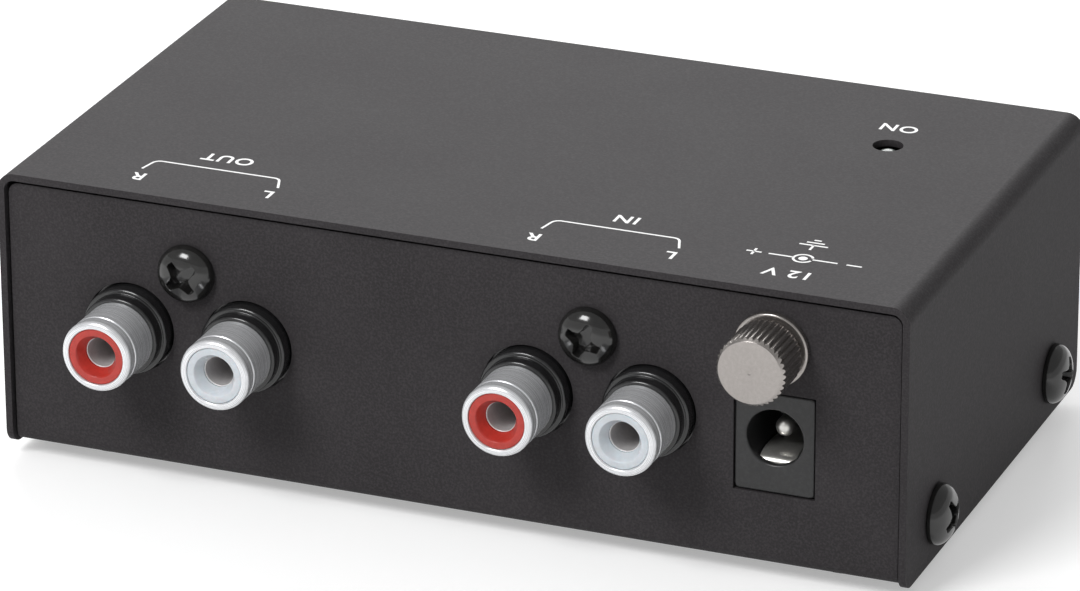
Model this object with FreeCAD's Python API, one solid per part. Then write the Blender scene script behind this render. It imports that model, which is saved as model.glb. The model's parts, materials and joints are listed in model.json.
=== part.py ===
import FreeCAD, Part
import math
import os

from FreeCAD import Placement, Rotation, Vector

# A small phono preamplifier in a folded steel case.
# Sizes are in millimetres. X runs along the jack panel, Y from the jacks to the plain end, Z up.
# The origin is under the middle of the whole object, on the surface that it stands on.

# Case
case_width = 105.0
case_depth = 59.5
case_height = 32.5
sheet = 0.8
cover_bend = 2.0
base_bend = 1.3
lip_overhang = 0.6
wall_hang = 0.4
wall_corner = 2.0
side_gap = 0.25
top_gap = 0.45

# Feet
foot_radius = 4.0
foot_height = 2.0
foot_inset_x = 9.5
foot_inset_y = 8.5
foot_edge = 0.6

# Cover screws and the lugs that they bite into
cover_screw_inset = 9.8
cover_screw_rise = 5.2
cover_screw_head_radius = 3.4
cover_screw_head_height = 2.3
cover_screw_radius = 1.5
cover_screw_length = 5.0
cover_screw_clearance = 0.2
cover_screw_turns = (20, 55)
lug_width = 9.0
lug_rise = 4.0
lug_corner = 2.0

# Circuit board and what carries it
board_thickness = 1.6
board_side_gap = 5.0
board_panel_gap = 0.5
board_plain_gap = 2.0
standoff_height = 5.5
standoff_radius = 3.0
standoff_spigot_radius = 2.0
board_screw_radius = 1.5
board_screw_length = 5.5
board_screw_head_radius = 2.8
board_screw_head_height = 2.0
board_screw_clearance = 0.2
board_screw_turns = (15, 55, 95)
board_hole_inset = 5.0
board_front_hole_gap = 0.3
lead_clearance = 0.15
lead_below = 1.2

# Jack pairs
output_pair_inset = 22.3
input_pair_inset = 36.0
jack_pitch = 14.0
jack_rise = 8.0
jack_reach = 9.0
jack_tail = 6.0
shell_radius = 4.05
shell_wall = 0.85
shell_seat_step = 0.2
shell_lip = 0.55
shell_groove = 0.12
shell_groove_back = 1.5
insert_recess = 0.15
insert_mouth_flare = 0.65
insert_mouth_depth = 1.2
insert_throat_gap = 0.1
contact_bore_radius = 1.65
contact_wall = 0.35
contact_front = 7.4
contact_tail = 8.0
collar_wall = 0.95
collar_reach = 1.6
neck_wall = 0.45
neck_reach = 3.1
collar_clearance = 0.2
jack_body_width = 28.0
jack_body_depth = 10.5
jack_body_over = 5.9
jack_lug_width = 8.4
jack_lug_depth = 8.0
jack_lug_over = 3.4
terminal_width = 1.2
terminal_thickness = 0.5
terminal_clearance = 0.2

# Jack screws
jack_screw_over = 7.5
jack_screw_head_radius = 3.3
jack_screw_head_height = 2.2
jack_screw_radius = 1.5
jack_screw_length = 7.0
jack_screw_clearance = 0.25
jack_screw_turns = (45, 70)

# Shares of a screw's head or shank: rim, point, and the arms, slots and floor of its cross recess
screw_rim_share = 0.3
screw_point_share = 0.5
cross_arm_share = 0.5
cross_slot_share = 0.15
cross_floor_share = 0.3

# Power socket
power_inset = 15.0
power_width = 9.0
power_height = 11.5
power_depth = 14.0
power_rib = 0.55
power_rib_width = 1.0
power_gap = 0.1
power_recess = 0.1
socket_radius = 3.15
socket_depth = 9.5
socket_over_centre = 0.65
power_pin_radius = 1.05
power_pin_seat_step = 0.25
power_pin_recess = 2.5
leaf_width = 4.0
leaf_thickness = 0.3
leaf_bulge = 0.8
leaf_front = 0.9
leaf_length = 11.1
leaf_clearance = 0.2

# Ground terminal
ground_inset = 15.3
ground_drop = 6.9
ground_screw_radius = 2.0
ground_screw_reach = 5.4
ground_screw_head_radius = 3.5
ground_screw_head_height = 2.2
washer_radius = 4.2
washer_thickness = 0.8
washer_clearance = 0.15
washer_edge = 0.12
seat_gap = 0.05
nut_radius = 3.9
nut_length = 6.15
nut_face_radius = 3.3
nut_chamfer = 0.6
nut_neck_radius = 3.2
nut_neck_length = 0.7
nut_bore_clearance = 0.06
nut_wall = 1.1
nut_teeth = 36
nut_tooth_depth = 0.22
nut_tooth_width = 0.5
ring_lug_radius = 3.9
ring_lug_thickness = 0.6
ring_lug_tail_width = 3.0
ring_lug_tail_length = 7.5
crimp_radius = 1.2
crimp_length = 3.5
wire_radius = 0.6
wire_run = 5.0
wire_bend = 3.5

# Indicator lamp
lamp_inset_x = 17.3
lamp_inset_y = 16.7
lamp_radius = 1.5
lamp_flange_radius = 1.9
lamp_flange_height = 1.0
lamp_height = 5.3
lamp_sink = 0.5
lamp_clearance = 0.2
lamp_lead = 0.5
lamp_lead_pitch = 2.54
lamp_spacer_radius = 2.4
lamp_spacer_bore = 1.8

# Parts on the board: places are shares of the board's width and depth from its middle
chip_length = 9.8
chip_width = 6.4
chip_height = 3.3
chip_standoff = 0.5
chip_row_pitch = 7.62
chip_pin_pitch = 2.54
chip_pin_width = 0.5
chip_pin_thickness = 0.3
chip_pins_in_row = 4
chip_notch_radius = 0.8
chip_notch_depth = 0.5
chip_places = {"output_amplifier": (-0.26, 0.05), "input_amplifier": (0.12, 0.05)}

main_can_radius = 5.0
main_can_height = 16.0
main_can_place = (0.385, -0.03)
second_can_radius = 4.0
second_can_height = 11.5
second_can_place = (0.255, 0.31)
small_can_radius = 2.5
small_can_height = 11.0
small_can_places = ((-0.45, 0.22), (-0.45, 0.02), (-0.13, -0.1), (-0.05, 0.03))
can_groove = 0.35
can_groove_rise = 1.6
can_edge = 0.4
can_lead_share = 0.4

film_length = 7.2
film_width = 2.8
film_height = 7.0
film_lift = 0.3
film_lead_pitch = 5.0
film_screw_gap = 1.2
film_row = 0.36
film_row_columns = (-0.2, -0.03, 0.135)
other_film_places = ((0.12, -0.14), (-0.365, -0.14))

disc_radius = 2.5
disc_thickness = 1.6
disc_lift = 2.0
disc_lead_pitch = 2.5
disc_edge_share = 0.45
disc_lead_share = 0.5
disc_places = ((-0.365, 0.05), (0.235, -0.13), (-0.15, 0.05), (0.235, 0.1))

resistor_radius = 1.15
resistor_waist = 0.9
resistor_length = 6.3
resistor_pitch = 9.0
resistor_lift = 0.2
axial_cap_share = 0.22
axial_edge_share = 0.3
resistor_columns = (-0.33, -0.19, -0.05, 0.09)
resistor_rows = (0.17, 0.225, 0.43)

regulator_radius = 2.4
regulator_flat = 1.3
regulator_height = 4.8
regulator_lift = 3.0
regulator_lead_pitch = 1.27
regulator_lead_hold = 1.0
regulator_place = (0.27, 0.17)

diode_radius = 1.35
diode_length = 5.2
diode_pitch = 10.0
diode_place = (0.285, 0.0)

lead_radius = 0.3

# How far a cutter runs past the face that it cuts
past = 1.0

# Places that follow from the sizes above
half_width = case_width / 2
total_depth = jack_reach + case_depth - lip_overhang
panel_y = jack_reach - total_depth / 2
cover_near_y = panel_y - lip_overhang
cover_far_y = cover_near_y + case_depth
plain_panel_y = cover_far_y - lip_overhang
panel_inner_y = panel_y + sheet
plain_inner_y = plain_panel_y - sheet
base_z = foot_height
base_inner_z = base_z + sheet
cover_z = base_z - wall_hang
cover_top_z = cover_z + case_height
panel_top_z = cover_top_z - sheet - top_gap
wall_inner_x = half_width - sheet
base_half_width = wall_inner_x - side_gap
inner_bend = cover_bend - sheet

shell_seat_radius = shell_radius - shell_seat_step
shell_bore_radius = shell_radius - shell_wall
pin_seat_radius = power_pin_radius - power_pin_seat_step
collar_radius = shell_radius + collar_wall
neck_radius = shell_radius + neck_wall
insert_mouth_radius = contact_bore_radius + insert_mouth_flare
jack_body_end_y = panel_inner_y + jack_body_depth

board_z = base_inner_z + standoff_height
board_top_z = board_z + board_thickness
board_half_width = half_width - sheet - board_side_gap
board_near_y = panel_inner_y + board_panel_gap
board_far_y = plain_inner_y - board_plain_gap
board_width = 2 * board_half_width
board_depth = board_far_y - board_near_y
board_mid_y = (board_near_y + board_far_y) / 2
lead_end_z = board_z - lead_below

film_from_corner = board_hole_inset + board_screw_head_radius + film_screw_gap + film_length / 2
film_columns = ((film_from_corner - board_half_width) / board_width,) + film_row_columns
film_places = tuple((column, film_row) for column in film_columns) + other_film_places

output_mid_x = output_pair_inset - half_width
input_mid_x = half_width - input_pair_inset
jack_z = board_top_z + jack_rise
jack_screw_z = jack_z + jack_screw_over
insert_radius = shell_bore_radius
contact_radius = contact_bore_radius + contact_wall
shell_end_y = panel_y + jack_tail
contact_end_y = panel_y + contact_tail

power_x = half_width - power_inset
power_near_y = panel_y + power_recess
power_z = board_top_z + power_rib
socket_z = power_z + power_height / 2 + socket_over_centre

ground_x = half_width - ground_inset
ground_z = cover_top_z - ground_drop
washer_face_y = panel_y - seat_gap - washer_thickness
nut_seat_y = washer_face_y - seat_gap

lamp_x = half_width - lamp_inset_x
lamp_y = cover_far_y - lamp_inset_y
lamp_z = cover_top_z - lamp_sink - lamp_height

cover_screw_z = cover_z + cover_screw_rise
cover_screw_ys = (cover_near_y + cover_screw_inset, cover_far_y - cover_screw_inset)
standoff_places = (
    ((output_mid_x + input_mid_x) / 2, jack_body_end_y + board_front_hole_gap + standoff_radius),
    (board_hole_inset - board_half_width, board_far_y - board_hole_inset),
    (board_half_width - board_hole_inset, board_far_y - board_hole_inset),
)

OUTWARD = Vector(0, -1, 0)
INWARD = Vector(0, 1, 0)
UP = Vector(0, 0, 1)
DOWN = Vector(0, 0, -1)
CENTRE = Vector(0, 0, 0)

# The middle of a quarter-round corner, as a share of its radius from the square corner's two sides
ROUNDED = 1 - math.sqrt(0.5)


# Shape helpers

def block(x, y, z):
    """A box between the low and high value of each axis."""
    size = (x[1] - x[0], y[1] - y[0], z[1] - z[0])
    return Part.makeBox(*size, Vector(x[0], y[0], z[0]))


def rod(radius, start, end):
    """A round bar from one point to another."""
    along = end - start
    return Part.makeCylinder(radius, along.Length, start, along)


def placed(shape, point, axis):
    """A copy of a shape made along +Z from the origin, set at a point along an axis."""
    moved = shape.copy()
    moved.Placement = Placement(point, Rotation(UP, axis))
    return moved


def outline_face(start, *steps):
    """A flat face in XZ: each step is the next corner, or a point on an arc and the arc's end."""
    edges = []
    here = Vector(start[0], 0, start[1])
    first = here
    for step in steps:
        if len(step) == 4:
            middle = Vector(step[0], 0, step[1])
            there = Vector(step[2], 0, step[3])
            edges.append(Part.Arc(here, middle, there).toShape())
        else:
            there = Vector(step[0], 0, step[1])
            edges.append(Part.LineSegment(here, there).toShape())
        here = there
    if (here - first).Length > 1e-7:
        edges.append(Part.LineSegment(here, first).toShape())
    return Part.Face(Part.Wire(edges))


def turned(start, *steps):
    """A lathe-turned solid about +Z from an outline of radius and height."""
    return outline_face(start, *steps).revolve(CENTRE, UP, 360)


def with_bore(shape, radius, start, end):
    return shape.cut(rod(radius, start, end))


def ring(outer, inner, start, end):
    return with_bore(rod(outer, start, end), inner, start, end)


def fused(shapes):
    whole = shapes[0]
    for shape in shapes[1:]:
        whole = whole.fuse(shape)
    return whole.removeSplitter()


def edges_along(shape, axis, where):
    """The straight edges along an axis whose middle passes a test."""
    found = []
    for edge in shape.Edges:
        if not isinstance(edge.Curve, Part.Line):
            continue
        start = edge.Vertexes[0].Point
        end = edge.Vertexes[-1].Point
        if abs(abs((end - start).normalize().dot(axis)) - 1) < 1e-6 and where((start + end) / 2):
            found.append(edge)
    return found


def channel(half, low, high, bend):
    """The section of a sheet folded into an upright U, as a face in XZ."""
    knee = bend * ROUNDED
    hook = (bend - sheet) * ROUNDED
    left = -half
    return outline_face(
        (left, high),
        (left, low + bend),
        (left + knee, low + knee, left + bend, low),
        (half - bend, low),
        (half - knee, low + knee, half, low + bend),
        (half, high),
        (half - sheet, high),
        (half - sheet, low + bend),
        (half - sheet - hook, low + sheet + hook, half - bend, low + sheet),
        (left + bend, low + sheet),
        (left + sheet + hook, low + sheet + hook, left + sheet, low + bend),
        (left + sheet, high),
    )


def dome(radius, low, high):
    """The step of an outline from a rim over a ball-shaped dome to the axis."""
    centre = (high * high - low * low - radius * radius) / (2 * (high - low))
    ball = high - centre
    half_angle = math.atan2(radius, low - centre) / 2
    return (ball * math.sin(half_angle), centre + ball * math.cos(half_angle), 0, high)


def pan_screw(head_radius, head_height, radius, length, turn):
    """A pan head screw with a cross recess: its head stands on the origin and its shank goes down."""
    rim = screw_rim_share * head_height
    head = turned((0, 0), (head_radius, 0), (head_radius, rim), dome(head_radius, rim, head_height))
    point = screw_point_share * radius
    shank = turned((0, 0), (radius, 0), (radius, point - length), (radius - point, -length), (0, -length))
    arm = cross_arm_share * head_radius
    slot = cross_slot_share * head_radius
    bottom = cross_floor_share * head_height
    cross = fused([
        block((-arm, arm), (-slot, slot), (bottom, head_height)),
        block((-slot, slot), (-arm, arm), (bottom, head_height)),
    ])
    cross.rotate(CENTRE, UP, turn)
    return fused([head, shank]).cut(cross)


def panel_hole(radius, x, z):
    """A round cutter through the jack panel."""
    return rod(radius, Vector(x, panel_y - past, z), Vector(x, panel_inner_y + past, z))


def wall_hole(radius, y):
    """A round cutter across the whole case, at the height of the cover's screws."""
    start = Vector(-half_width - past, y, cover_screw_z)
    return rod(radius, start, Vector(half_width + past, y, cover_screw_z))


def board_hole(radius, x, y):
    """A round cutter through the circuit board."""
    return rod(radius, Vector(x, y, board_z - past), Vector(x, y, board_top_z + past))


# Case

def top_cover():
    """Top and two side walls from one folded sheet, open at both ends and below."""
    section = channel(half_width, -cover_top_z, -cover_z, cover_bend)
    section.rotate(CENTRE, INWARD, 180)
    section.translate(Vector(0, cover_near_y, 0))
    cover = section.extrude(INWARD * case_depth)
    corners = edges_along(cover, Vector(1, 0, 0), lambda p: p.z < cover_z + sheet)
    cover = cover.makeFillet(wall_corner, corners)
    lamp_top = Vector(lamp_x, lamp_y, cover_top_z + past)
    holes = [rod(lamp_radius + lamp_clearance, Vector(lamp_x, lamp_y, lamp_z), lamp_top)]
    for y in cover_screw_ys:
        holes.append(wall_hole(cover_screw_radius + cover_screw_clearance, y))
    return cover.cut(Part.makeCompound(holes))


def side_lug(side, y):
    """A lug folded up from the edge of the base against the inside of a cover wall."""
    outer = side * wall_inner_x
    inner = side * (wall_inner_x - sheet)
    root = side * (base_half_width - lug_corner)
    across = (y - lug_width / 2, y + lug_width / 2)
    upright = block(sorted((inner, outer)), across, (base_z, cover_screw_z + lug_rise))
    ears = edges_along(upright, Vector(1, 0, 0), lambda p: p.z > cover_screw_z)
    upright = upright.makeFillet(lug_corner, ears)
    ear = block(sorted((root, outer)), across, (base_z, base_inner_z))
    lug = fused([upright, ear])
    fold = edges_along(lug, INWARD, lambda p: abs(p.x - outer) < 1e-6 and abs(p.z - base_z) < 1e-6)
    return lug.makeFillet(sheet, fold)


def jack_panel_holes():
    holes = []
    for middle in (output_mid_x, input_mid_x):
        for x in jack_xs(middle):
            holes.append(panel_hole(collar_radius + collar_clearance, x, jack_z))
        holes.append(panel_hole(jack_screw_radius + jack_screw_clearance, middle, jack_screw_z))
    holes.append(block(
        (power_x - power_width / 2 - power_gap, power_x + power_width / 2 + power_gap),
        (panel_y - past, panel_inner_y + base_bend),
        (power_z - power_gap, power_z + power_height + power_gap),
    ))
    holes.append(panel_hole(ground_screw_radius, ground_x, ground_z))
    return holes


def base_chassis():
    """Bottom, jack panel and plain panel from one folded sheet, with four lugs for the cover."""
    middle_y = (panel_y + plain_panel_y) / 2
    section = channel((plain_panel_y - panel_y) / 2, base_z, panel_top_z, base_bend)
    section.rotate(CENTRE, UP, 90)
    section.translate(Vector(-base_half_width, middle_y, 0))
    base = section.extrude(Vector(2 * base_half_width, 0, 0))
    corners = edges_along(base, INWARD, lambda p: p.z > panel_top_z - sheet)
    base = base.makeFillet(inner_bend, corners)
    lugs = [side_lug(side, y) for side in (-1, 1) for y in cover_screw_ys]
    base = fused([base] + lugs)
    holes = jack_panel_holes()
    for y in cover_screw_ys:
        holes.append(wall_hole(cover_screw_radius, y))
    for x, y in standoff_places:
        below = Vector(x, y, base_z - past)
        holes.append(rod(standoff_spigot_radius, below, Vector(x, y, base_inner_z + past)))
    return base.cut(Part.makeCompound(holes))


def cover_screws():
    screws = []
    for side in (-1, 1):
        for y, turn in zip(cover_screw_ys, cover_screw_turns):
            screw = pan_screw(
                cover_screw_head_radius, cover_screw_head_height,
                cover_screw_radius, cover_screw_length, turn,
            )
            screws.append(placed(screw, Vector(side * half_width, y, cover_screw_z), Vector(side, 0, 0)))
    return Part.makeCompound(screws)


def rubber_feet():
    foot = turned(
        (0, 0),
        (foot_radius - foot_edge, 0),
        (foot_radius - ROUNDED * foot_edge, ROUNDED * foot_edge, foot_radius, foot_edge),
        (foot_radius, foot_height),
        (0, foot_height),
    )
    feet = []
    for x in (foot_inset_x - half_width, half_width - foot_inset_x):
        for y in (panel_y + foot_inset_y, plain_panel_y - foot_inset_y):
            feet.append(placed(foot, Vector(x, y, 0), UP))
    return Part.makeCompound(feet)


# Jacks

def jack_xs(middle):
    return (middle - jack_pitch / 2, middle + jack_pitch / 2)


def jack_terminal(x, y, top, gap):
    """The flat leg of a jack down through the board, or the room that it needs."""
    half = terminal_width / 2 + gap
    return block((x - half, x + half), (y - gap, y + terminal_thickness + gap), (lead_end_z, top))


def shell_terminal(x, gap=0.0):
    top = jack_z - (shell_radius + insert_radius) / 2
    return jack_terminal(x, shell_end_y - 2 * terminal_thickness, top, gap)


def contact_terminal(x, gap=0.0):
    return jack_terminal(x, contact_end_y, jack_z, gap)


def jack_body(middle):
    """The black moulding of one jack pair, with two stepped collars and a lug for the screw."""
    pieces = [
        block(
            (middle - jack_body_width / 2, middle + jack_body_width / 2),
            (panel_inner_y, jack_body_end_y),
            (board_top_z, jack_z + jack_body_over),
        ),
        block(
            (middle - jack_lug_width / 2, middle + jack_lug_width / 2),
            (panel_inner_y, panel_inner_y + jack_lug_depth),
            (jack_z, jack_screw_z + jack_lug_over),
        ),
    ]
    for x in jack_xs(middle):
        at_panel = Vector(x, panel_inner_y, jack_z)
        pieces.append(rod(collar_radius, at_panel, Vector(x, panel_y - collar_reach, jack_z)))
        pieces.append(rod(neck_radius, at_panel, Vector(x, panel_y - neck_reach, jack_z)))
    body = fused(pieces)
    holes = [rod(
        jack_screw_radius,
        Vector(middle, panel_y, jack_screw_z),
        Vector(middle, panel_y + jack_screw_length, jack_screw_z),
    )]
    for x in jack_xs(middle):
        front = Vector(x, panel_y - jack_reach, jack_z)
        holes.append(rod(shell_seat_radius, front, Vector(x, shell_end_y, jack_z)))
        holes.append(rod(contact_radius, front, Vector(x, contact_end_y + terminal_thickness, jack_z)))
        holes.append(shell_terminal(x, terminal_clearance))
        holes.append(contact_terminal(x, terminal_clearance))
    return body.cut(Part.makeCompound(holes))


def jack_shell(x):
    """The plated sleeve that a plug's outer contact slides over, with a rolled front lip."""
    back = jack_reach + jack_tail
    lip = shell_lip
    soft = lip * ROUNDED
    groove_low = back - shell_groove_back - 2 * shell_groove
    groove_high = groove_low + 2 * shell_groove
    seat = jack_tail + neck_reach
    sleeve = turned(
        (shell_bore_radius, 0),
        (shell_seat_radius, 0),
        (shell_seat_radius, seat),
        (shell_radius, seat),
        (shell_radius, groove_low),
        (shell_radius - shell_groove, groove_low + shell_groove),
        (shell_radius, groove_high),
        (shell_radius, back - lip),
        (shell_radius - soft, back - soft, shell_radius - lip, back),
        (shell_bore_radius, back),
    )
    sleeve = placed(sleeve, Vector(x, shell_end_y, jack_z), OUTWARD)
    return fused([sleeve, shell_terminal(x)])


def jack_insert(x):
    """The coloured moulding inside a shell, with a funnel that leads the plug's pin in."""
    length = jack_reach - insert_recess + jack_tail
    seat = contact_front + jack_tail
    throat = contact_bore_radius + insert_throat_gap
    insert = turned(
        (contact_radius, 0),
        (insert_radius, 0),
        (insert_radius, length),
        (insert_mouth_radius, length),
        (throat, length - insert_mouth_depth),
        (throat, seat),
        (contact_radius, seat),
    )
    return placed(insert, Vector(x, shell_end_y, jack_z), OUTWARD)


def jack_contact(x):
    """The tube that grips a plug's centre pin, closed at the back, with its leg to the board."""
    closed = Vector(x, contact_end_y + terminal_thickness, jack_z)
    front = Vector(x, panel_y - contact_front, jack_z)
    floor = Vector(x, contact_end_y, jack_z)
    tube = with_bore(rod(contact_radius, closed, front), contact_bore_radius, floor, front)
    return fused([tube, contact_terminal(x)])


def jack_screws():
    screws = []
    for middle, turn in zip((output_mid_x, input_mid_x), jack_screw_turns):
        screw = pan_screw(
            jack_screw_head_radius, jack_screw_head_height, jack_screw_radius, jack_screw_length, turn,
        )
        screws.append(placed(screw, Vector(middle, panel_y, jack_screw_z), OUTWARD))
    return Part.makeCompound(screws)


# Power socket

def leaf_section(gap):
    """The side of the sleeve contact in YZ, drawn as XZ: a leaf that bulges up into the socket."""
    floor = socket_z - socket_radius - leaf_thickness
    near = power_near_y + leaf_front
    far = near + leaf_length
    middle = (near + far) / 2
    quarter = leaf_length / 4
    peak = floor + leaf_bulge
    under = leaf_thickness + gap
    return outline_face(
        (near - gap, floor + gap),
        (middle - quarter, floor + gap),
        (middle, peak + gap, middle + quarter, floor + gap),
        (far, floor + gap),
        (far, lead_end_z),
        (far - leaf_thickness - gap, lead_end_z),
        (far - leaf_thickness - gap, floor - under),
        (middle + quarter, floor - under),
        (middle, peak - under, middle - quarter, floor - under),
        (near - gap, floor - under),
    )


def leaf_solid(gap):
    section = leaf_section(gap)
    section.rotate(CENTRE, UP, 90)
    half = leaf_width / 2 + gap
    section.translate(Vector(power_x - half, 0, 0))
    return section.extrude(Vector(2 * half, 0, 0))


def dc_spring_contact():
    """The leaf that presses on a power plug's sleeve, with its leg to the board."""
    return leaf_solid(0.0)


def power_pin_leg(gap=0.0):
    back = power_near_y + power_depth
    half = terminal_width / 2 + gap
    across = (power_x - half, power_x + half)
    return block(across, (back, back + terminal_thickness + gap), (lead_end_z, socket_z))


def dc_centre_pin():
    """The fixed pin in the middle of the socket, riveted to its leg behind the moulding."""
    length = power_depth - power_pin_recess
    seat = power_depth - socket_depth
    pin = turned(
        (0, 0),
        (pin_seat_radius, 0),
        (pin_seat_radius, seat),
        (power_pin_radius, seat),
        (power_pin_radius, length - power_pin_radius),
        dome(power_pin_radius, length - power_pin_radius, length),
    )
    pin = placed(pin, Vector(power_x, power_near_y + power_depth, socket_z), OUTWARD)
    head = rod(pin_seat_radius, Vector(power_x, power_near_y + power_depth, socket_z),
               Vector(power_x, power_near_y + power_depth + terminal_thickness, socket_z))
    return fused([pin, head, power_pin_leg()])


def dc_jack_body():
    """The socket's black moulding: a round hole in a block that stands on two ribs."""
    across = (power_x - power_width / 2, power_x + power_width / 2)
    along = (power_near_y, power_near_y + power_depth)
    body = block(across, along, (power_z, power_z + power_height))
    ribs = [
        block((across[0], across[0] + power_rib_width), (board_near_y, along[1]), (board_top_z, power_z)),
        block((across[1] - power_rib_width, across[1]), (board_near_y, along[1]), (board_top_z, power_z)),
    ]
    body = fused([body] + ribs)
    mouth = Vector(power_x, power_near_y, socket_z)
    hollow = rod(socket_radius, mouth - INWARD, mouth + INWARD * socket_depth)
    pin_hole = rod(pin_seat_radius, mouth, mouth + INWARD * (power_depth + past))
    room = leaf_solid(leaf_clearance)
    above = block(
        (power_x - leaf_width / 2 - leaf_clearance, power_x + leaf_width / 2 + leaf_clearance),
        (power_near_y + leaf_front - leaf_clearance, power_near_y + leaf_front + leaf_length),
        (socket_z - socket_radius - leaf_thickness, socket_z - socket_radius + leaf_bulge + leaf_clearance),
    )
    return body.cut(Part.makeCompound([hollow, pin_hole])).cut(room).cut(above)


# Ground terminal

def ground_screw():
    """The threaded post, driven from inside through the tapped hole in the jack panel."""
    bearing_y = panel_inner_y + ring_lug_thickness
    length = bearing_y - panel_y + ground_screw_reach
    screw = pan_screw(ground_screw_head_radius, ground_screw_head_height, ground_screw_radius, length, 0)
    return placed(screw, Vector(ground_x, bearing_y, ground_z), INWARD)


def ground_washer():
    hole = ground_screw_radius + washer_clearance
    washer = turned(
        (hole, 0),
        (washer_radius, 0),
        (washer_radius, washer_thickness - washer_edge),
        (washer_radius - washer_edge, washer_thickness),
        (hole, washer_thickness),
    )
    return placed(washer, Vector(ground_x, panel_y - seat_gap, ground_z), OUTWARD)


def ground_nut():
    """The blind thumb nut: a neck, a straight knurl and a plain chamfered face."""
    nut = turned(
        (0, 0),
        (nut_neck_radius, 0),
        (nut_neck_radius, nut_neck_length),
        (nut_radius, nut_neck_length),
        (nut_radius, nut_length - nut_chamfer),
        (nut_face_radius, nut_length),
        (0, nut_length),
    )
    half = nut_tooth_width / 2
    root = nut_radius - nut_tooth_depth
    tip = nut_radius + past
    flare = half * (tip - root) / nut_tooth_depth
    groove = Part.Face(Part.makePolygon([
        Vector(root, 0, nut_neck_length), Vector(tip, -flare, nut_neck_length),
        Vector(tip, flare, nut_neck_length), Vector(root, 0, nut_neck_length),
    ])).extrude(UP * nut_length)
    grooves = []
    for tooth in range(nut_teeth):
        one = groove.copy()
        one.rotate(CENTRE, UP, 360 * tooth / nut_teeth)
        grooves.append(one)
    nut = nut.cut(Part.makeCompound(grooves))
    bore = rod(ground_screw_radius + nut_bore_clearance, CENTRE, UP * (nut_length - nut_wall))
    return placed(nut.cut(bore), Vector(ground_x, nut_seat_y, ground_z), OUTWARD)


def lug_tail_x():
    return ground_x - ring_lug_radius - ring_lug_thickness


def ground_lug():
    """A ring terminal under the screw's head, with a tail folded back to a crimp."""
    thick = ring_lug_thickness
    here = Vector(ground_x, panel_inner_y, ground_z)
    disc = rod(ring_lug_radius, here, here + INWARD * thick)
    tail_x = (lug_tail_x(), lug_tail_x() + thick)
    tail_z = (ground_z - ring_lug_tail_width / 2, ground_z + ring_lug_tail_width / 2)
    bridge = block((tail_x[0], ground_x), (panel_inner_y, panel_inner_y + thick), tail_z)
    tail = block(tail_x, (panel_inner_y, panel_inner_y + ring_lug_tail_length), tail_z)
    plate = fused([disc, bridge, tail])
    plate = with_bore(plate, ground_screw_radius, here, here + INWARD * thick)
    start, end = crimp_ends()
    barrel = rod(crimp_radius, start, end)
    return with_bore(fused([plate, barrel]), wire_radius, start, end)


def crimp_ends():
    x = lug_tail_x() + ring_lug_thickness / 2
    near = panel_inner_y + ring_lug_tail_length
    return Vector(x, near, ground_z), Vector(x, near + crimp_length, ground_z)


def ground_wire():
    """The wire from the crimp back over the board and down into it."""
    start, crimp_end = crimp_ends()
    corner = crimp_end + INWARD * wire_run
    end = Vector(corner.x, corner.y, lead_end_z)
    before = corner - INWARD * wire_bend
    after = corner + DOWN * wire_bend
    knee = wire_bend * ROUNDED
    middle = corner - INWARD * knee + DOWN * knee
    path = Part.Wire([
        Part.LineSegment(start, before).toShape(),
        Part.Arc(before, middle, after).toShape(),
        Part.LineSegment(after, end).toShape(),
    ])
    profile = Part.Wire([Part.makeCircle(wire_radius, start, INWARD)])
    return path.makePipeShell([profile], True, True)


# Indicator lamp

def lamp_lead_xs():
    return (lamp_x - lamp_lead_pitch / 2, lamp_x + lamp_lead_pitch / 2)


def led_lens():
    """The lamp's clear body: a flange, a straight part and a dome just under the cover's surface."""
    shoulder = lamp_height - lamp_radius
    lens = turned(
        (0, 0),
        (lamp_flange_radius, 0),
        (lamp_flange_radius, lamp_flange_height),
        (lamp_radius, lamp_flange_height),
        (lamp_radius, shoulder),
        dome(lamp_radius, shoulder, lamp_height),
    )
    return placed(lens, Vector(lamp_x, lamp_y, lamp_z), UP)


def led_leads():
    half = lamp_lead / 2
    leads = []
    for x in lamp_lead_xs():
        leads.append(block((x - half, x + half), (lamp_y - half, lamp_y + half), (lead_end_z, lamp_z)))
    return Part.makeCompound(leads)


def led_spacer():
    foot = Vector(lamp_x, lamp_y, board_top_z)
    return ring(lamp_spacer_radius, lamp_spacer_bore, foot, Vector(lamp_x, lamp_y, lamp_z))


# Circuit board and the parts on it

def board_place(place):
    """A point on top of the board from shares of its width and depth."""
    return Vector(place[0] * board_width, board_mid_y + place[1] * board_depth, board_top_z)


def lead_at(x, y, top):
    return rod(lead_radius, Vector(x, y, lead_end_z), Vector(x, y, top))


def pair_of_points(place, pitch, along_x=True):
    middle = board_place(place)
    step = Vector(pitch / 2, 0, 0) if along_x else Vector(0, pitch / 2, 0)
    return (middle - step, middle + step)


def can_leads(place, radius):
    return pair_of_points(place, 2 * can_lead_share * radius)


def can_capacitor(place, radius, height):
    """A round can with a crimped groove near its foot and two leads."""
    can = turned(
        (0, 0),
        (radius, 0),
        (radius, can_groove_rise - can_groove),
        (radius - can_groove, can_groove_rise, radius, can_groove_rise + can_groove),
        (radius, height - can_edge),
        (radius - ROUNDED * can_edge, height - ROUNDED * can_edge, radius - can_edge, height),
        (0, height),
    )
    pieces = [placed(can, board_place(place), UP)]
    for point in can_leads(place, radius):
        pieces.append(lead_at(point.x, point.y, board_top_z + can_edge))
    return fused(pieces)


def main_supply_capacitor():
    return can_capacitor(main_can_place, main_can_radius, main_can_height)


def second_supply_capacitor():
    return can_capacitor(second_can_place, second_can_radius, second_can_height)


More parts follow.
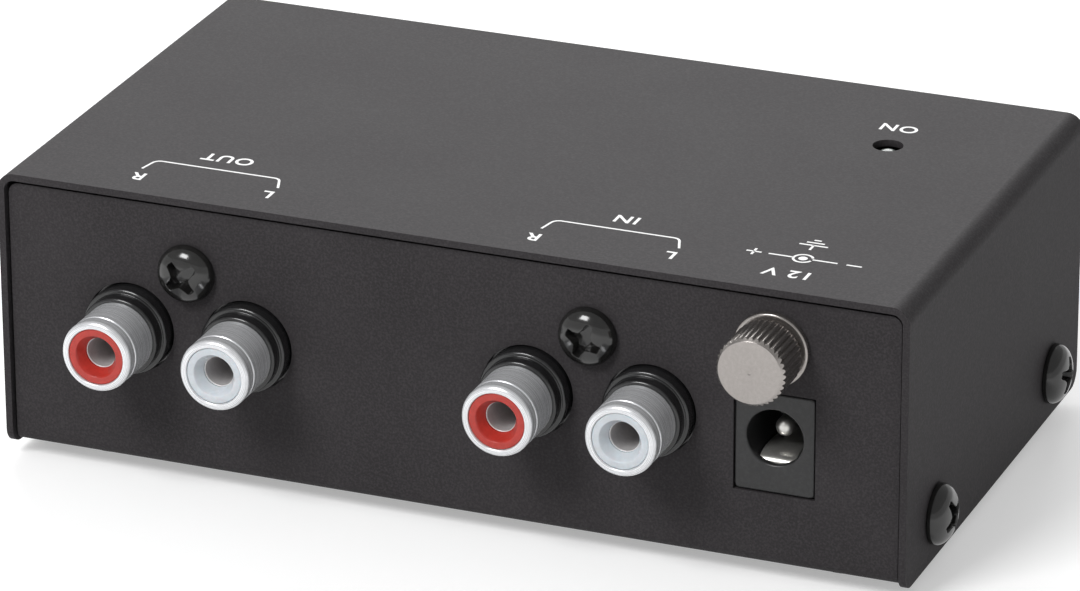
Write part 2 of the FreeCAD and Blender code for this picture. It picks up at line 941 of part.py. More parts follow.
def coupling_capacitors():
    return Part.makeCompound([
        can_capacitor(place, small_can_radius, small_can_height) for place in small_can_places
    ])


def film_capacitors():
    """Box capacitors with rounded upper edges."""
    boxes = []
    for place in film_places:
        middle = board_place(place)
        low = board_top_z + film_lift
        box = block(
            (middle.x - film_length / 2, middle.x + film_length / 2),
            (middle.y - film_width / 2, middle.y + film_width / 2),
            (low, low + film_height),
        )
        upper = [e for e in box.Edges if min(v.Point.z for v in e.Vertexes) > low + film_height - 1e-6]
        pieces = [box.makeFillet(can_edge, upper)]
        for point in pair_of_points(place, film_lead_pitch):
            pieces.append(lead_at(point.x, point.y, low + can_edge))
        boxes.append(fused(pieces))
    return Part.makeCompound(boxes)


def disc_capacitors():
    """Ceramic discs that stand on their leads."""
    discs = []
    for place in disc_places:
        middle = board_place(place)
        centre = middle + UP * (disc_lift + disc_radius)
        half = INWARD * (disc_thickness / 2)
        disc = rod(disc_radius, centre - half, centre + half)
        disc = disc.makeFillet(disc_edge_share * disc_thickness, disc.Edges)
        pieces = [disc]
        for point in pair_of_points(place, disc_lead_pitch):
            pieces.append(lead_at(point.x, point.y, centre.z - disc_lead_share * disc_radius))
        discs.append(fused(pieces))
    return Part.makeCompound(discs)


def axial_part(place, radius, waist, length, pitch, along_x):
    """A resistor or diode that lies on the board, with both leads bent down through it."""
    first, last = pair_of_points(place, pitch, along_x)
    height = UP * (radius + resistor_lift)
    along = (last - first).normalize()
    middle = (first + last) / 2 + height
    cap = axial_cap_share * length
    soft = axial_edge_share * radius
    body = turned(
        (0, 0), (radius - soft, 0), (radius, soft), (radius, cap), (waist, cap + soft),
        (waist, length - cap - soft), (radius, length - cap), (radius, length - soft),
        (radius - soft, length), (0, length),
    )
    pieces = [placed(body, middle - along * (length / 2), along)]
    pieces.append(rod(lead_radius, first + height, last + height))
    for point in (first, last):
        pieces.append(lead_at(point.x, point.y, point.z + height.z))
        pieces.append(Part.makeSphere(lead_radius, point + height))
    return fused(pieces)


def resistor_places():
    return [(column, row) for row in resistor_rows for column in resistor_columns]


def resistors():
    return Part.makeCompound([
        axial_part(place, resistor_radius, resistor_waist, resistor_length, resistor_pitch, True)
        for place in resistor_places()
    ])


def rectifier_diode():
    return axial_part(diode_place, diode_radius, diode_radius, diode_length, diode_pitch, False)


def regulator_leads():
    middle = board_place(regulator_place)
    return [middle + Vector(step * regulator_lead_pitch, 0, 0) for step in (-1, 0, 1)]


def voltage_regulator():
    """A three-leg regulator: a round body with one flat side, raised on its leads."""
    middle = board_place(regulator_place)
    low = middle + UP * regulator_lift
    body = rod(regulator_radius, low, low + UP * regulator_height)
    flat = block(
        (low.x - 2 * regulator_radius, low.x + 2 * regulator_radius),
        (low.y - 2 * regulator_radius, low.y - regulator_flat),
        (low.z - past, low.z + regulator_height + past),
    )
    pieces = [body.cut(flat)]
    for point in regulator_leads():
        pieces.append(lead_at(point.x, point.y, low.z + regulator_lead_hold))
    return fused(pieces)


def chip_pins(place):
    """The top and outer point of each pin of a chip."""
    middle = board_place(place)
    first = -(chip_pins_in_row - 1) / 2 * chip_pin_pitch
    points = []
    for side in (-1, 1):
        for pin in range(chip_pins_in_row):
            points.append(middle + Vector(first + pin * chip_pin_pitch, side * chip_row_pitch / 2, 0))
    return points


def amplifier_chip(place):
    """An eight-leg chip: a moulded block with an end notch and two rows of folded legs."""
    middle = board_place(place)
    low = middle.z + chip_standoff
    body = block(
        (middle.x - chip_length / 2, middle.x + chip_length / 2),
        (middle.y - chip_width / 2, middle.y + chip_width / 2),
        (low, low + chip_height),
    )
    notch_point = Vector(middle.x - chip_length / 2, middle.y, low + chip_height - chip_notch_depth)
    body = body.cut(rod(chip_notch_radius, notch_point, notch_point + UP))
    pieces = [body]
    shoulder = low + chip_height / 2
    half = chip_pin_width / 2
    for point in chip_pins(place):
        side = 1 if point.y > middle.y else -1
        inner = point.y - side * (chip_row_pitch - chip_width) / 2
        outer = point.y + side * chip_pin_thickness / 2
        pieces.append(block(
            (point.x - half, point.x + half), sorted((inner, outer)),
            (shoulder - chip_pin_thickness, shoulder),
        ))
        pieces.append(block(
            (point.x - half, point.x + half),
            (point.y - chip_pin_thickness / 2, point.y + chip_pin_thickness / 2),
            (lead_end_z, shoulder),
        ))
    return fused(pieces)


def round_lead_points():
    """Every place where a round lead goes through the board."""
    points = []
    points += can_leads(main_can_place, main_can_radius)
    points += can_leads(second_can_place, second_can_radius)
    for place in small_can_places:
        points += can_leads(place, small_can_radius)
    for place in film_places:
        points += pair_of_points(place, film_lead_pitch)
    for place in disc_places:
        points += pair_of_points(place, disc_lead_pitch)
    for place in resistor_places():
        points += pair_of_points(place, resistor_pitch)
    points += pair_of_points(diode_place, diode_pitch, False)
    points += regulator_leads()
    return points


def circuit_board():
    """The board, with a hole for every lead, leg and screw."""
    board = block((-board_half_width, board_half_width), (board_near_y, board_far_y), (board_z, board_top_z))
    holes = []
    for point in round_lead_points():
        holes.append(board_hole(lead_radius + lead_clearance, point.x, point.y))
    for place in chip_places.values():
        for point in chip_pins(place):
            holes.append(board_hole(chip_pin_width / 2 + lead_clearance, point.x, point.y))
    for x in lamp_lead_xs():
        holes.append(board_hole(lamp_lead / 2 + 2 * lead_clearance, x, lamp_y))
    for x, y in standoff_places:
        holes.append(board_hole(board_screw_radius + board_screw_clearance, x, y))
    for middle in (output_mid_x, input_mid_x):
        for x in jack_xs(middle):
            holes.append(shell_terminal(x, lead_clearance))
            holes.append(contact_terminal(x, lead_clearance))
    leaf_leg_y = power_near_y + leaf_front + leaf_length
    half = leaf_width / 2 + lead_clearance
    holes.append(block(
        (power_x - half, power_x + half),
        (leaf_leg_y - leaf_thickness - lead_clearance, leaf_leg_y + lead_clearance),
        (board_z - past, board_top_z + past),
    ))
    holes.append(power_pin_leg(lead_clearance))
    crimp_end = crimp_ends()[1]
    holes.append(board_hole(wire_radius + lead_clearance, crimp_end.x, crimp_end.y + wire_run))
    for hole in holes:
        board = board.cut(hole)
    return board


def board_standoffs():
    """Threaded pillars whose spigots are swaged into the base."""
    pillars = []
    for x, y in standoff_places:
        foot = Vector(x, y, base_z)
        shelf = Vector(x, y, base_inner_z)
        top = Vector(x, y, board_z)
        pillar = fused([rod(standoff_spigot_radius, foot, shelf), rod(standoff_radius, shelf, top)])
        thread_end = Vector(x, y, board_top_z - board_screw_length)
        pillars.append(with_bore(pillar, board_screw_radius, thread_end, top))
    return Part.makeCompound(pillars)


def board_screws():
    screws = []
    for (x, y), turn in zip(standoff_places, board_screw_turns):
        screw = pan_screw(
            board_screw_head_radius, board_screw_head_height, board_screw_radius, board_screw_length, turn,
        )
        screws.append(placed(screw, Vector(x, y, board_top_z), UP))
    return Part.makeCompound(screws)


# Write every sub-part

def jack_nodes():
    """The pieces of both jack pairs: the right channel is on the left of each pair, seen from outside."""
    nodes = {}
    for pair, middle in (("output", output_mid_x), ("input", input_mid_x)):
        nodes[pair + "_jack_body"] = jack_body(middle)
        for channel_name, x in zip(("right", "left"), jack_xs(middle)):
            jack = pair + "_" + channel_name
            nodes[jack + "_shell"] = jack_shell(x)
            nodes[jack + "_insert"] = jack_insert(x)
            nodes[jack + "_contact"] = jack_contact(x)
    return nodes


def all_nodes():
    makers = (
        top_cover, base_chassis, cover_screws, rubber_feet, jack_screws,
        dc_jack_body, dc_centre_pin, dc_spring_contact,
        ground_screw, ground_washer, ground_nut, ground_lug, ground_wire,
        led_lens, led_leads, led_spacer,
        circuit_board, board_standoffs, board_screws,
        main_supply_capacitor, second_supply_capacitor, coupling_capacitors,
        film_capacitors, disc_capacitors, resistors, rectifier_diode, voltage_regulator,
    )
    nodes = {maker.__name__: maker() for maker in makers}
    nodes.update(jack_nodes())
    for name, place in chip_places.items():
        nodes[name] = amplifier_chip(place)
    return nodes


os.makedirs("parts", exist_ok=True)
for node, shape in all_nodes().items():
    shape.exportStep("parts/" + node + ".step")
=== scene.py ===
"""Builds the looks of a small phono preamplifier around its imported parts."""

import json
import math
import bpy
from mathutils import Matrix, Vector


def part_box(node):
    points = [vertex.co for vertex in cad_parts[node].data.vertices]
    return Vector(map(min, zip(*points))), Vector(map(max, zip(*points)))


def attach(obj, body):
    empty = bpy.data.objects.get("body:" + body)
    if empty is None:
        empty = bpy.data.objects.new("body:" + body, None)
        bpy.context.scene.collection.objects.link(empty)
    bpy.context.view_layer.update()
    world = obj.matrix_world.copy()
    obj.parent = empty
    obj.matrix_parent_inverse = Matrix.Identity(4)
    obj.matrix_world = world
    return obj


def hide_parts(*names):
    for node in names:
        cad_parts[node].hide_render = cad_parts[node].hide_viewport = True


bl_info = {
    "name": "Phono Preamplifier",
    "version": (1, 0, 0),
    "blender": (4, 5, 0),
    "location": "3D View > Sidebar > Phono Preamplifier",
    "description": "Builds a phono preamplifier in a folded steel case, its legends and its studio",
    "category": "Add Mesh",
}

import bmesh
import bpy
import numpy as np
from bpy.props import FloatProperty, FloatVectorProperty, IntProperty, PointerProperty
from mathutils import Matrix, Vector

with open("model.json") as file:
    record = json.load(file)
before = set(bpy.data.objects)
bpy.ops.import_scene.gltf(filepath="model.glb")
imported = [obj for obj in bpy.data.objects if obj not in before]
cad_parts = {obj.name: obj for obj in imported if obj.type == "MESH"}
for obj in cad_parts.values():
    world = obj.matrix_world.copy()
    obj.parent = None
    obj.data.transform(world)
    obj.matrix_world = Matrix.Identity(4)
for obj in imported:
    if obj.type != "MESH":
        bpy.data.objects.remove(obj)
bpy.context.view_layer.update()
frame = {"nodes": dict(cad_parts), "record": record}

MM = 0.001
JACKS = ("output_right", "output_left", "input_right", "input_left")
CASE = "case"

# Sizes that several pieces share
PAN_HEAD, PAN_SHANK = 3.4 * MM, 1.5 * MM
SOCKET_TALL, SOCKET_HOLE, SOCKET_DEEP = 11.5 * MM, 3.15 * MM, 9.5 * MM
SHELL_RADIUS, TUBE_RADIUS, TAB_HALF = 4.05 * MM, 2.0 * MM, 0.6 * MM

# Right-handed local axes for a turned piece: across, across, and the way its axis points
DIRECTIONS = {
    "+X": ((0, 1, 0), (0, 0, 1), (1, 0, 0)),
    "-X": ((0, 0, 1), (0, 1, 0), (-1, 0, 0)),
    "+Y": ((0, 0, 1), (1, 0, 0), (0, 1, 0)),
    "-Y": ((1, 0, 0), (0, 0, 1), (0, -1, 0)),
    "+Z": ((1, 0, 0), (0, 1, 0), (0, 0, 1)),
}


# Sizes and colours that a user may change

def length(name, description, millimetres):
    return FloatProperty(name=name, description=description, default=millimetres * MM, unit="LENGTH",
                         precision=5)


def amount(name, description, default, subtype="NONE"):
    return FloatProperty(name=name, description=description, default=default, min=0.0, subtype=subtype)


def colour(name, description, default):
    return FloatVectorProperty(name=name, description=description, default=default, subtype="COLOR",
                               size=3, min=0.0, max=1.0)


class CaseSettings(bpy.types.PropertyGroup):
    sheet: length("Sheet", "Thickness of the folded steel", 0.8)
    cover_bend: length("Cover bend", "Outer radius of the cover's two folds", 2.0)
    base_bend: length("Base bend", "Outer radius of the base's two folds", 1.3)
    wall_corner: length("Wall corner", "Radius of the cover walls' lower corners", 2.0)
    panel_corner: length("Panel corner", "Radius of the panels' upper corners", 1.2)
    soft_edge: length("Soft edge", "How far the paint rounds each cut edge", 0.12)
    lamp_hole: length("Lamp hole", "Radius of the hole above the lamp", 1.7)
    collar_hole: length("Collar hole", "Radius of the hole around each jack collar", 5.2)
    paint: colour("Paint", "Colour of the matt powder paint", (0.027, 0.0245, 0.0262))
    paint_speck: colour("Paint speck", "Colour of the paint's brighter grains", (0.062, 0.057, 0.0605))


class JackSettings(bpy.types.PropertyGroup):
    shell_wall: length("Shell wall", "Thickness of a plated shell", 0.85)
    lip_round: length("Lip round", "Radius of a shell's rolled front lip", 0.55)
    groove: length("Groove", "Depth of the line behind the lip", 0.13)
    groove_back: length("Groove place", "Distance of that line behind the front", 1.5)
    mouth: length("Mouth", "Radius of an insert's funnel at its face", 2.3)
    throat: length("Throat", "Radius of the hole behind the funnel", 1.65)
    collar: length("Collar", "Radius of the step against the panel", 5.0)
    collar_reach: length("Collar reach", "How far that step stands out of the panel", 1.6)
    neck: length("Neck", "Radius of the step around the shell", 4.5)
    neck_reach: length("Neck reach", "How far that step stands out of the panel", 3.1)
    red: colour("Right insert", "Colour of the right channel's inserts", (0.5, 0.04, 0.028))
    white: colour("Left insert", "Colour of the left channel's inserts", (0.66, 0.7, 0.74))


class TerminalSettings(bpy.types.PropertyGroup):
    teeth: IntProperty(name="Teeth", description="Ridges around the thumb nut", default=36, min=8)
    tooth_depth: length("Tooth depth", "Depth of the grooves between the ridges", 0.24)
    pitch: length("Thread pitch", "Pitch of the ground stud's thread", 0.7)
    nickel: colour("Nickel", "Colour of the plated terminal", (0.37, 0.345, 0.328))


class LegendSettings(bpy.types.PropertyGroup):
    stroke: length("Stroke", "Width of a printed line", 0.27)
    letter: length("Letter", "Height of a printed capital", 1.85)
    lift: length("Lift", "Thickness of the ink", 0.012)
    ink: colour("Ink", "Colour of the printing", (0.9, 0.9, 0.9))


class StageSettings(bpy.types.PropertyGroup):
    floor: colour("Floor", "Colour of the floor", (0.8, 0.8, 0.8))
    world: amount("Surround", "Strength of the even light", 0.42)
    glow: amount("Floor glow", "White added to the floor where it is seen", 0.38)
    key_lamp: amount("Key lamp", "Power of the lamp in front", 4.2, "POWER")
    back_lamp: amount("Back lamp", "Power of the wide lamp behind", 5.2, "POWER")
    lens: amount("Lens", "Focal length of the camera", 221.17, "DISTANCE_CAMERA")


# Surfaces: each is points, faces and a distance along the profile for turning marks

def grid_faces(rows, columns, close_rows=False):
    """Quads between neighbours on a grid that closes across, and also along where close_rows is set."""
    i, j = np.meshgrid(np.arange(rows if close_rows else rows - 1), np.arange(columns), indexing="ij")
    k, m = (i + 1) % rows, (j + 1) % columns
    return np.stack([i * columns + j, i * columns + m, k * columns + m, k * columns + j], -1).reshape(-1, 4)


def placed(local, origin, direction):
    """Local points along the three axes of a direction, moved to an origin."""
    return local @ np.array(DIRECTIONS[direction], float) + np.array(origin, float)


def rounded(corners, closed=False, steps=6):
    """Each corner (x, y, radius) becomes an arc that touches both of its sides."""
    data = np.array(corners, float)
    points = data[:, :2]
    out = []
    for i, radius in enumerate(data[:, 2]):
        here = points[i]
        if radius <= 0 or (not closed and i in (0, len(points) - 1)):
            out.append(here[None])
            continue
        back, ahead = points[i - 1] - here, points[(i + 1) % len(points)] - here
        back, ahead = back / np.linalg.norm(back), ahead / np.linalg.norm(ahead)
        half = math.acos(float(np.clip(back @ ahead, -1, 1))) / 2
        middle = (back + ahead) / np.linalg.norm(back + ahead)
        centre = here + middle * radius / math.sin(half)
        touch = radius / math.tan(half)
        start, end = here + back * touch - centre, here + ahead * touch - centre
        turn = math.pi - 2 * half
        k = np.linspace(0, 1, steps + 1)[:, None]
        out.append(centre + (np.sin((1 - k) * turn) * start + np.sin(k * turn) * end) / math.sin(turn))
    return np.concatenate(out)


def full_turn(segments):
    return np.linspace(0, 2 * math.pi, segments, endpoint=False)


def wound(profile, radius, height, angle, origin, direction, closed=False):
    """Point = radius times (cos, sin) of the angle across, and height along the axis."""
    local = np.stack([radius * np.cos(angle), radius * np.sin(angle), height], -1).reshape(-1, 3)
    steps = np.linalg.norm(np.diff(profile, axis=0), axis=1)
    along = np.repeat(np.concatenate([[0], np.cumsum(steps)]), angle.size)
    return placed(local, origin, direction), grid_faces(len(profile), angle.size, close_rows=closed), along


def turned(profile, origin, direction, closed=False, segments=128, limit=None):
    """A profile of radius and height, turned about its axis.
    Where limit(angle) is smaller than the profile's radius, it is the radius."""
    angle, flat = full_turn(segments), np.zeros(segments)
    radius, height = profile[:, :1] + flat, profile[:, 1:2] + flat
    if limit is not None:
        radius = np.minimum(radius, limit(angle))
    return wound(profile, radius, height, angle, origin, direction, closed)


def block(low, high):
    """The eight corners and six sides of a box, for a Bevel to round."""
    corner = np.array([(x, y, z) for x in (0, 1) for y in (0, 1) for z in (0, 1)], float)
    low, high = np.array(low, float), np.array(high, float)
    faces = np.array([(0, 1, 3, 2), (4, 6, 7, 5), (0, 4, 5, 1), (2, 3, 7, 6), (0, 2, 6, 4), (1, 5, 7, 3)])
    return low + corner * (high - low), faces, np.zeros(8)


def folded_sheet(half, free, fold, bend, thick, sweep, corner, steps=10):
    """A U section swept in a straight line, as points (across, height, sweep).
    Outer line: up one wall, a quarter circle, across, a quarter circle, down the other wall.
    Inner line: the same quarter circles with the sheet's thickness off their radius.
    Near each end the free edge rises by corner * (1 - sin t), a distance corner * (1 - cos t) in."""
    way = math.copysign(1, fold - free)
    t = np.linspace(0, math.pi / 2, steps)

    def line(radius, inset):
        left = np.stack([-half + bend - radius * np.cos(t), fold - way * (bend - radius * np.sin(t))], -1)
        right = left[::-1] * (-1, 1)
        edge = np.array([[-half + inset, free]])
        return np.concatenate([edge, left, right, edge * (-1, 1)])

    outer, inner = line(bend, 0.0), line(bend - thick, thick)
    section = np.concatenate([outer, inner[::-1]])
    count = len(outer)
    end_in, rise = corner * (1 - np.cos(t)), corner * (1 - np.sin(t))
    stations = np.concatenate([sweep[0] + end_in, sweep[1] - end_in[::-1]])
    rises = np.concatenate([rise, rise[::-1]])
    points = np.empty((len(stations), len(section), 3))
    points[:, :, :2] = section
    points[:, :, 2] = stations[:, None]
    points[:, [0, count - 1, count, -1], 1] = (free + way * rises)[:, None]
    faces = grid_faces(len(stations), len(section))
    i = np.arange(count - 1)
    strip = np.stack([i, i + 1, len(section) - 2 - i, len(section) - 1 - i], -1)
    caps = np.concatenate([strip, strip[:, ::-1] + (len(stations) - 1) * len(section)])
    flat = points.reshape(-1, 3)
    return flat, np.concatenate([faces, caps]), np.zeros(len(flat))


def normals(path):
    """Unit normals of a flat path: its tangents turned a quarter."""
    tangent = np.gradient(path, axis=0)
    return np.stack([-tangent[:, 1], tangent[:, 0]], -1) / np.linalg.norm(tangent, axis=1)[:, None]


def bar_faces(count):
    """The four sides of a bar of count rings, and its two ends."""
    last = 4 * (count - 1)
    return np.concatenate([grid_faces(count, 4), [(0, 1, 2, 3), (last + 3, last + 2, last + 1, last)]])


def swept_strip(path, width, thick, origin, direction):
    """A flat strip along a path in (depth, height): each side is the path moved half the thickness
    along its own normal, and the two edges stand half the width to each side."""
    normal = normals(path)
    ring = []
    for side, offset in ((-1, -1), (1, -1), (1, 1), (-1, 1)):
        edge = path + normal * offset * thick / 2
        ring.append(np.stack([np.full(len(path), side * width / 2), edge[:, 1], -edge[:, 0]], -1))
    local = np.stack(ring, 1).reshape(-1, 3)
    return placed(local, origin, direction), bar_faces(len(path)), np.zeros(len(local))


def joined(surfaces):
    points, faces, along, start = [], [], [], 0
    for p, f, a in surfaces:
        points.append(p)
        faces += (f + start).tolist()
        along.append(a)
        start += len(p)
    return np.concatenate(points), faces, np.concatenate(along)


def mesh_of(name, surfaces):
    """A closed mesh of all surfaces, its poles merged and its faces outwards."""
    points, faces, along = joined(surfaces)
    mesh = bpy.data.meshes.new(name)
    mesh.from_pydata(points.tolist(), [], faces)
    marks = mesh.attributes.new("along", "FLOAT", "POINT")
    marks.data.foreach_set("value", along.astype(np.float32))
    work = bmesh.new()
    work.from_mesh(mesh)
    bmesh.ops.remove_doubles(work, verts=work.verts, dist=1e-7)
    bmesh.ops.dissolve_degenerate(work, edges=work.edges, dist=1e-8)
    bmesh.ops.recalc_face_normals(work, faces=work.faces)
    work.to_mesh(mesh)
    work.free()
    return mesh


def settled(obj):
    """The object's mesh with its modifiers applied."""
    bpy.context.view_layer.update()
    final = bpy.data.meshes.new_from_object(obj.evaluated_get(bpy.context.evaluated_depsgraph_get()))
    obj.modifiers.clear()
    obj.data = final


def linked(name, data):
    obj = bpy.data.objects.new(name, data)
    bpy.context.scene.collection.objects.link(obj)
    return obj


def piece(name, surfaces, slot, body=CASE, nodes=(), soft=0.0, holes=(), sharp=38, finish=None):
    """A finished piece: holes cut, edges softened, painted, and riding on its body."""
    obj = linked(name, mesh_of(name, surfaces))
    if holes:
        cutter = linked(name + "_cutter", mesh_of(name + "_cutter", holes))
        cut = obj.modifiers.new("holes", "BOOLEAN")
        cut.operation, cut.solver, cut.object = "DIFFERENCE", "EXACT", cutter
        settled(obj)
        bpy.data.objects.remove(cutter)
    if soft:
        bevel = obj.modifiers.new("soft edges", "BEVEL")
        bevel.width, bevel.segments, bevel.limit_method = soft, 2, "ANGLE"
        bevel.angle_limit, bevel.use_clamp_overlap = math.radians(sharp), True
        settled(obj)
    obj.data.shade_smooth()
    obj.data.set_sharp_from_angle(angle=math.radians(sharp))
    flat = obj.modifiers.new("flat sides", "WEIGHTED_NORMAL")
    flat.mode, flat.weight, flat.keep_sharp = "FACE_AREA", 90, True
    settled(obj)
    obj.data.materials.clear()
    obj.data.materials.append(finish_of(finish or slot))
    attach(obj, body)
    if nodes:
        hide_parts(*nodes)
    return obj


def box_of(node):
    low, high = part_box(node)
    return np.array(low), np.array(high)


def middle_of(node):
    low, high = box_of(node)
    return (low + high) / 2


def cover_screw_places():
    """Side, direction, y and z of each screw in the cover's two walls."""
    low, high = box_of("cover_screws")
    for side, direction in ((-1, "-X"), (1, "+X")):
        for y in (low[1] + PAN_HEAD, high[1] - PAN_HEAD):
            yield side, direction, y, (low[2] + high[2]) / 2


# Node groups for effects that several finishes share

def group(name, inputs, outputs):
    """An empty shader group with named sockets, and its input and output nodes."""
    tree = bpy.data.node_groups.new(name, "ShaderNodeTree")
    for label, kind, value in inputs:
        socket = tree.interface.new_socket(label, in_out="INPUT", socket_type="NodeSocket" + kind)
        socket.default_value = value
    for label, kind in outputs:
        tree.interface.new_socket(label, in_out="OUTPUT", socket_type="NodeSocket" + kind)
    return tree, tree.nodes.new("NodeGroupInput"), tree.nodes.new("NodeGroupOutput")


def feed(tree, target, values):
    """Gives each named input of a node its value, or links it to the socket named for it."""
    for key, value in values.items():
        if isinstance(value, bpy.types.NodeSocket):
            tree.links.new(value, target.inputs[key])
        else:
            target.inputs[key].default_value = value


def node(tree, kind, values=(), **settings):
    made = tree.nodes.new("ShaderNode" + kind)
    for key, value in settings.items():
        setattr(made, key, value)
    feed(tree, made, dict(values))
    return made


def scaled(tree, source, times, plus=0.0):
    """source * times + plus, where each may be a socket."""
    return node(tree, "Math", {0: source, 1: times, 2: plus}, operation="MULTIPLY_ADD").outputs[0]


def grain_group():
    """Colour, roughness and height that vary with two noises on Object coordinates, fine and broad."""
    tree, inside, outside = group(
        "surface_grain",
        (("Dark", "Color", (0, 0, 0, 1)), ("Light", "Color", (1, 1, 1, 1)), ("Roughness", "Float", 0.5),
         ("Roughness Spread", "Float", 0.1), ("Fine Scale", "Float", 4000.0),
         ("Broad Scale", "Float", 120.0)),
        (("Colour", "Color"), ("Roughness", "Float"), ("Height", "Float")))
    place, given = node(tree, "TexCoord").outputs["Object"], inside.outputs
    fine, broad = (
        node(tree, "TexNoise", {"Vector": place, "Scale": given[scale], "Detail": detail, "Roughness": rough})
        for scale, detail, rough in (("Fine Scale", 3.0, 0.6), ("Broad Scale", 2.0, 0.5)))
    fine, broad = fine.outputs["Fac"], broad.outputs["Fac"]
    peaks = node(tree, "MapRange", {"Value": fine, "From Min": 0.42, "From Max": 0.72}).outputs["Result"]
    weight = node(tree, "Math", {0: scaled(tree, peaks, 0.6), 1: scaled(tree, broad, 0.5, -0.12)},
                  operation="ADD", use_clamp=True)
    mix = node(tree, "Mix", {"Factor": weight.outputs[0], "A": given["Dark"], "B": given["Light"]},
               data_type="RGBA")
    swing = scaled(tree, scaled(tree, broad, 2.0, -1.0), given["Roughness Spread"], given["Roughness"])
    feed(tree, outside, {"Colour": mix.outputs["Result"], "Roughness": swing, "Height": fine})
    return tree


def turning_group():
    """Fine rings left by a lathe: a noise that changes only with the distance along the profile."""
    tree, inside, outside = group(
        "turning_marks",
        (("Fineness", "Float", 9000.0), ("Roughness", "Float", 0.2), ("Spread", "Float", 0.1)),
        (("Height", "Float"), ("Roughness", "Float")))
    along, given = node(tree, "Attribute", attribute_name="along").outputs["Fac"], inside.outputs
    noise = node(tree, "TexNoise", {"Detail": 2.0, "Roughness": 0.7}, noise_dimensions="1D")
    feed(tree, noise, {"W": along, "Scale": given["Fineness"]})
    rings = noise.outputs["Fac"]
    swing = scaled(tree, scaled(tree, rings, 2.0, -1.0), given["Spread"], given["Roughness"])
    feed(tree, outside, {"Height": rings, "Roughness": swing})
    return tree


def dust_group():
    """A mask of sparse soft specks, from the distance to scattered points on Object coordinates."""
    tree, inside, outside = group("fine_dust", (("Scale", "Float", 900.0), ("Size", "Float", 0.12)),
                                  (("Mask", "Float"),))
    place, given = node(tree, "TexCoord").outputs["Object"], inside.outputs
    cells = node(tree, "TexVoronoi", {"Vector": place, "Scale": given["Scale"]}, feature="F1")
    near = node(tree, "MapRange", {"Value": cells.outputs["Distance"], "From Min": 0.0,
                                   "From Max": given["Size"], "To Min": 1.0, "To Max": 0.0})
    feed(tree, outside, {"Mask": near.outputs["Result"]})
    return tree


LOOK = ("dark", "light", "rough", "spread", "fine", "broad", "height")


def finish_table():
    """Dark and light colour, roughness and its spread, fine and broad scale, and height in millimetres."""
    scene = bpy.context.scene
    case, jack = scene.preamp_case, scene.preamp_jack
    red, white, paint, speck = (np.array(c) for c in (jack.red, jack.white, case.paint, case.paint_speck))
    nickel, ink = np.array(scene.preamp_terminal.nickel), np.array(scene.preamp_legend.ink)
    rows = {
        "case_paint": (paint, speck, 0.66, 0.04, 3800, 90, 0.011, dict(specular=0.16, dust=0.15)),
        "black_screw": ((0.009, 0.0088, 0.0085), (0.022, 0.021, 0.02), 0.17, 0.06, 1500, 300, 0.002,
                        dict(specular=0.5, coat=0.35)),
        "foot_rubber": (0.012, 0.03, 0.75, 0.08, 2500, 250, 0.02),
        "jack_moulding": ((0.010, 0.010, 0.0105), (0.022, 0.022, 0.023), 0.2, 0.06, 2200, 260, 0.004,
                          dict(specular=0.65)),
        "socket_moulding": ((0.012, 0.012, 0.0125), (0.027, 0.027, 0.028), 0.36, 0.07, 2600, 240, 0.008),
        "shell_plating": ((0.74, 0.75, 0.77), (0.84, 0.85, 0.87), 0.27, 0.05, 2500, 350, 0.0015,
                          dict(metallic=0.5, rings=9000, ring_height=0.0005)),
        "terminal_plating": (nickel * 0.9, nickel * 1.08, 0.25, 0.05, 2500, 300, 0.002,
                             dict(metallic=0.88, rings=9000, ring_height=0.002)),
        "contact_plating": ((0.66, 0.65, 0.62), (0.8, 0.79, 0.76), 0.3, 0.06, 2000, 500, 0.002,
                            dict(metallic=0.85)),
        # A lighter, half-diffuse copy of the contact plating for the jack tubes: painted light, standing in
        # for the light each tube reflects from its insert.
        "tube_plating_painted_light": ((0.62, 0.6, 0.6), (0.74, 0.72, 0.72), 0.34, 0.06, 2000, 500, 0.002,
                         dict(metallic=0.35)),
        "red_insert": (red * 0.88, red * 1.12, 0.24, 0.06, 1500, 380, 0.003, dict(scatter=0.25)),
        "white_insert": (white * 0.93, white * 1.05, 0.26, 0.06, 1500, 380, 0.003, dict(scatter=0.4)),
        "wire_cover": ((0.02, 0.17, 0.04), (0.04, 0.28, 0.07), 0.4, 0.06, 1500, 300, 0.004),
        # The clear lens is coloured grey-green: painted shade from its hole and a painted reflection in the
        # lens.
        "lamp_lens": ((0.17, 0.19, 0.18), (0.24, 0.26, 0.25), 0.12, 0.03, 900, 400, 0.001, dict(glass=0.25)),
        "spacer_plastic": (0.012, 0.03, 0.5, 0.08, 2000, 300, 0.006),
        "board_laminate": ((0.008, 0.075, 0.022), (0.02, 0.15, 0.045), 0.34, 0.1, 1200, 180, 0.01),
        "standoff_brass": ((0.62, 0.47, 0.22), (0.78, 0.62, 0.34), 0.28, 0.08, 1500, 350, 0.003,
                           dict(metallic=1.0)),
        "inner_screw": (0.5, 0.68, 0.3, 0.08, 1500, 350, 0.003, dict(metallic=1.0)),
        "can_sleeve": ((0.012, 0.014, 0.03), (0.03, 0.034, 0.07), 0.3, 0.08, 900, 250, 0.006),
        "film_box": ((0.38, 0.03, 0.015), (0.6, 0.07, 0.04), 0.35, 0.08, 1200, 250, 0.006),
        "disc_coating": ((0.4, 0.19, 0.05), (0.62, 0.34, 0.13), 0.45, 0.1, 1500, 300, 0.012),
        "resistor_coating": ((0.22, 0.36, 0.46), (0.38, 0.54, 0.64), 0.35, 0.08, 1200, 400, 0.006),
        "chip_moulding": ((0.014, 0.014, 0.015), (0.04, 0.04, 0.042), 0.55, 0.08, 2600, 260, 0.012),
        "printed_ink": (ink * 0.92, ink, 0.5, 0.06, 4200, 500, 0.006),
    }
    return {slot: dict(zip(LOOK, row), **(row[7] if len(row) > 7 else {})) for slot, row in rows.items()}


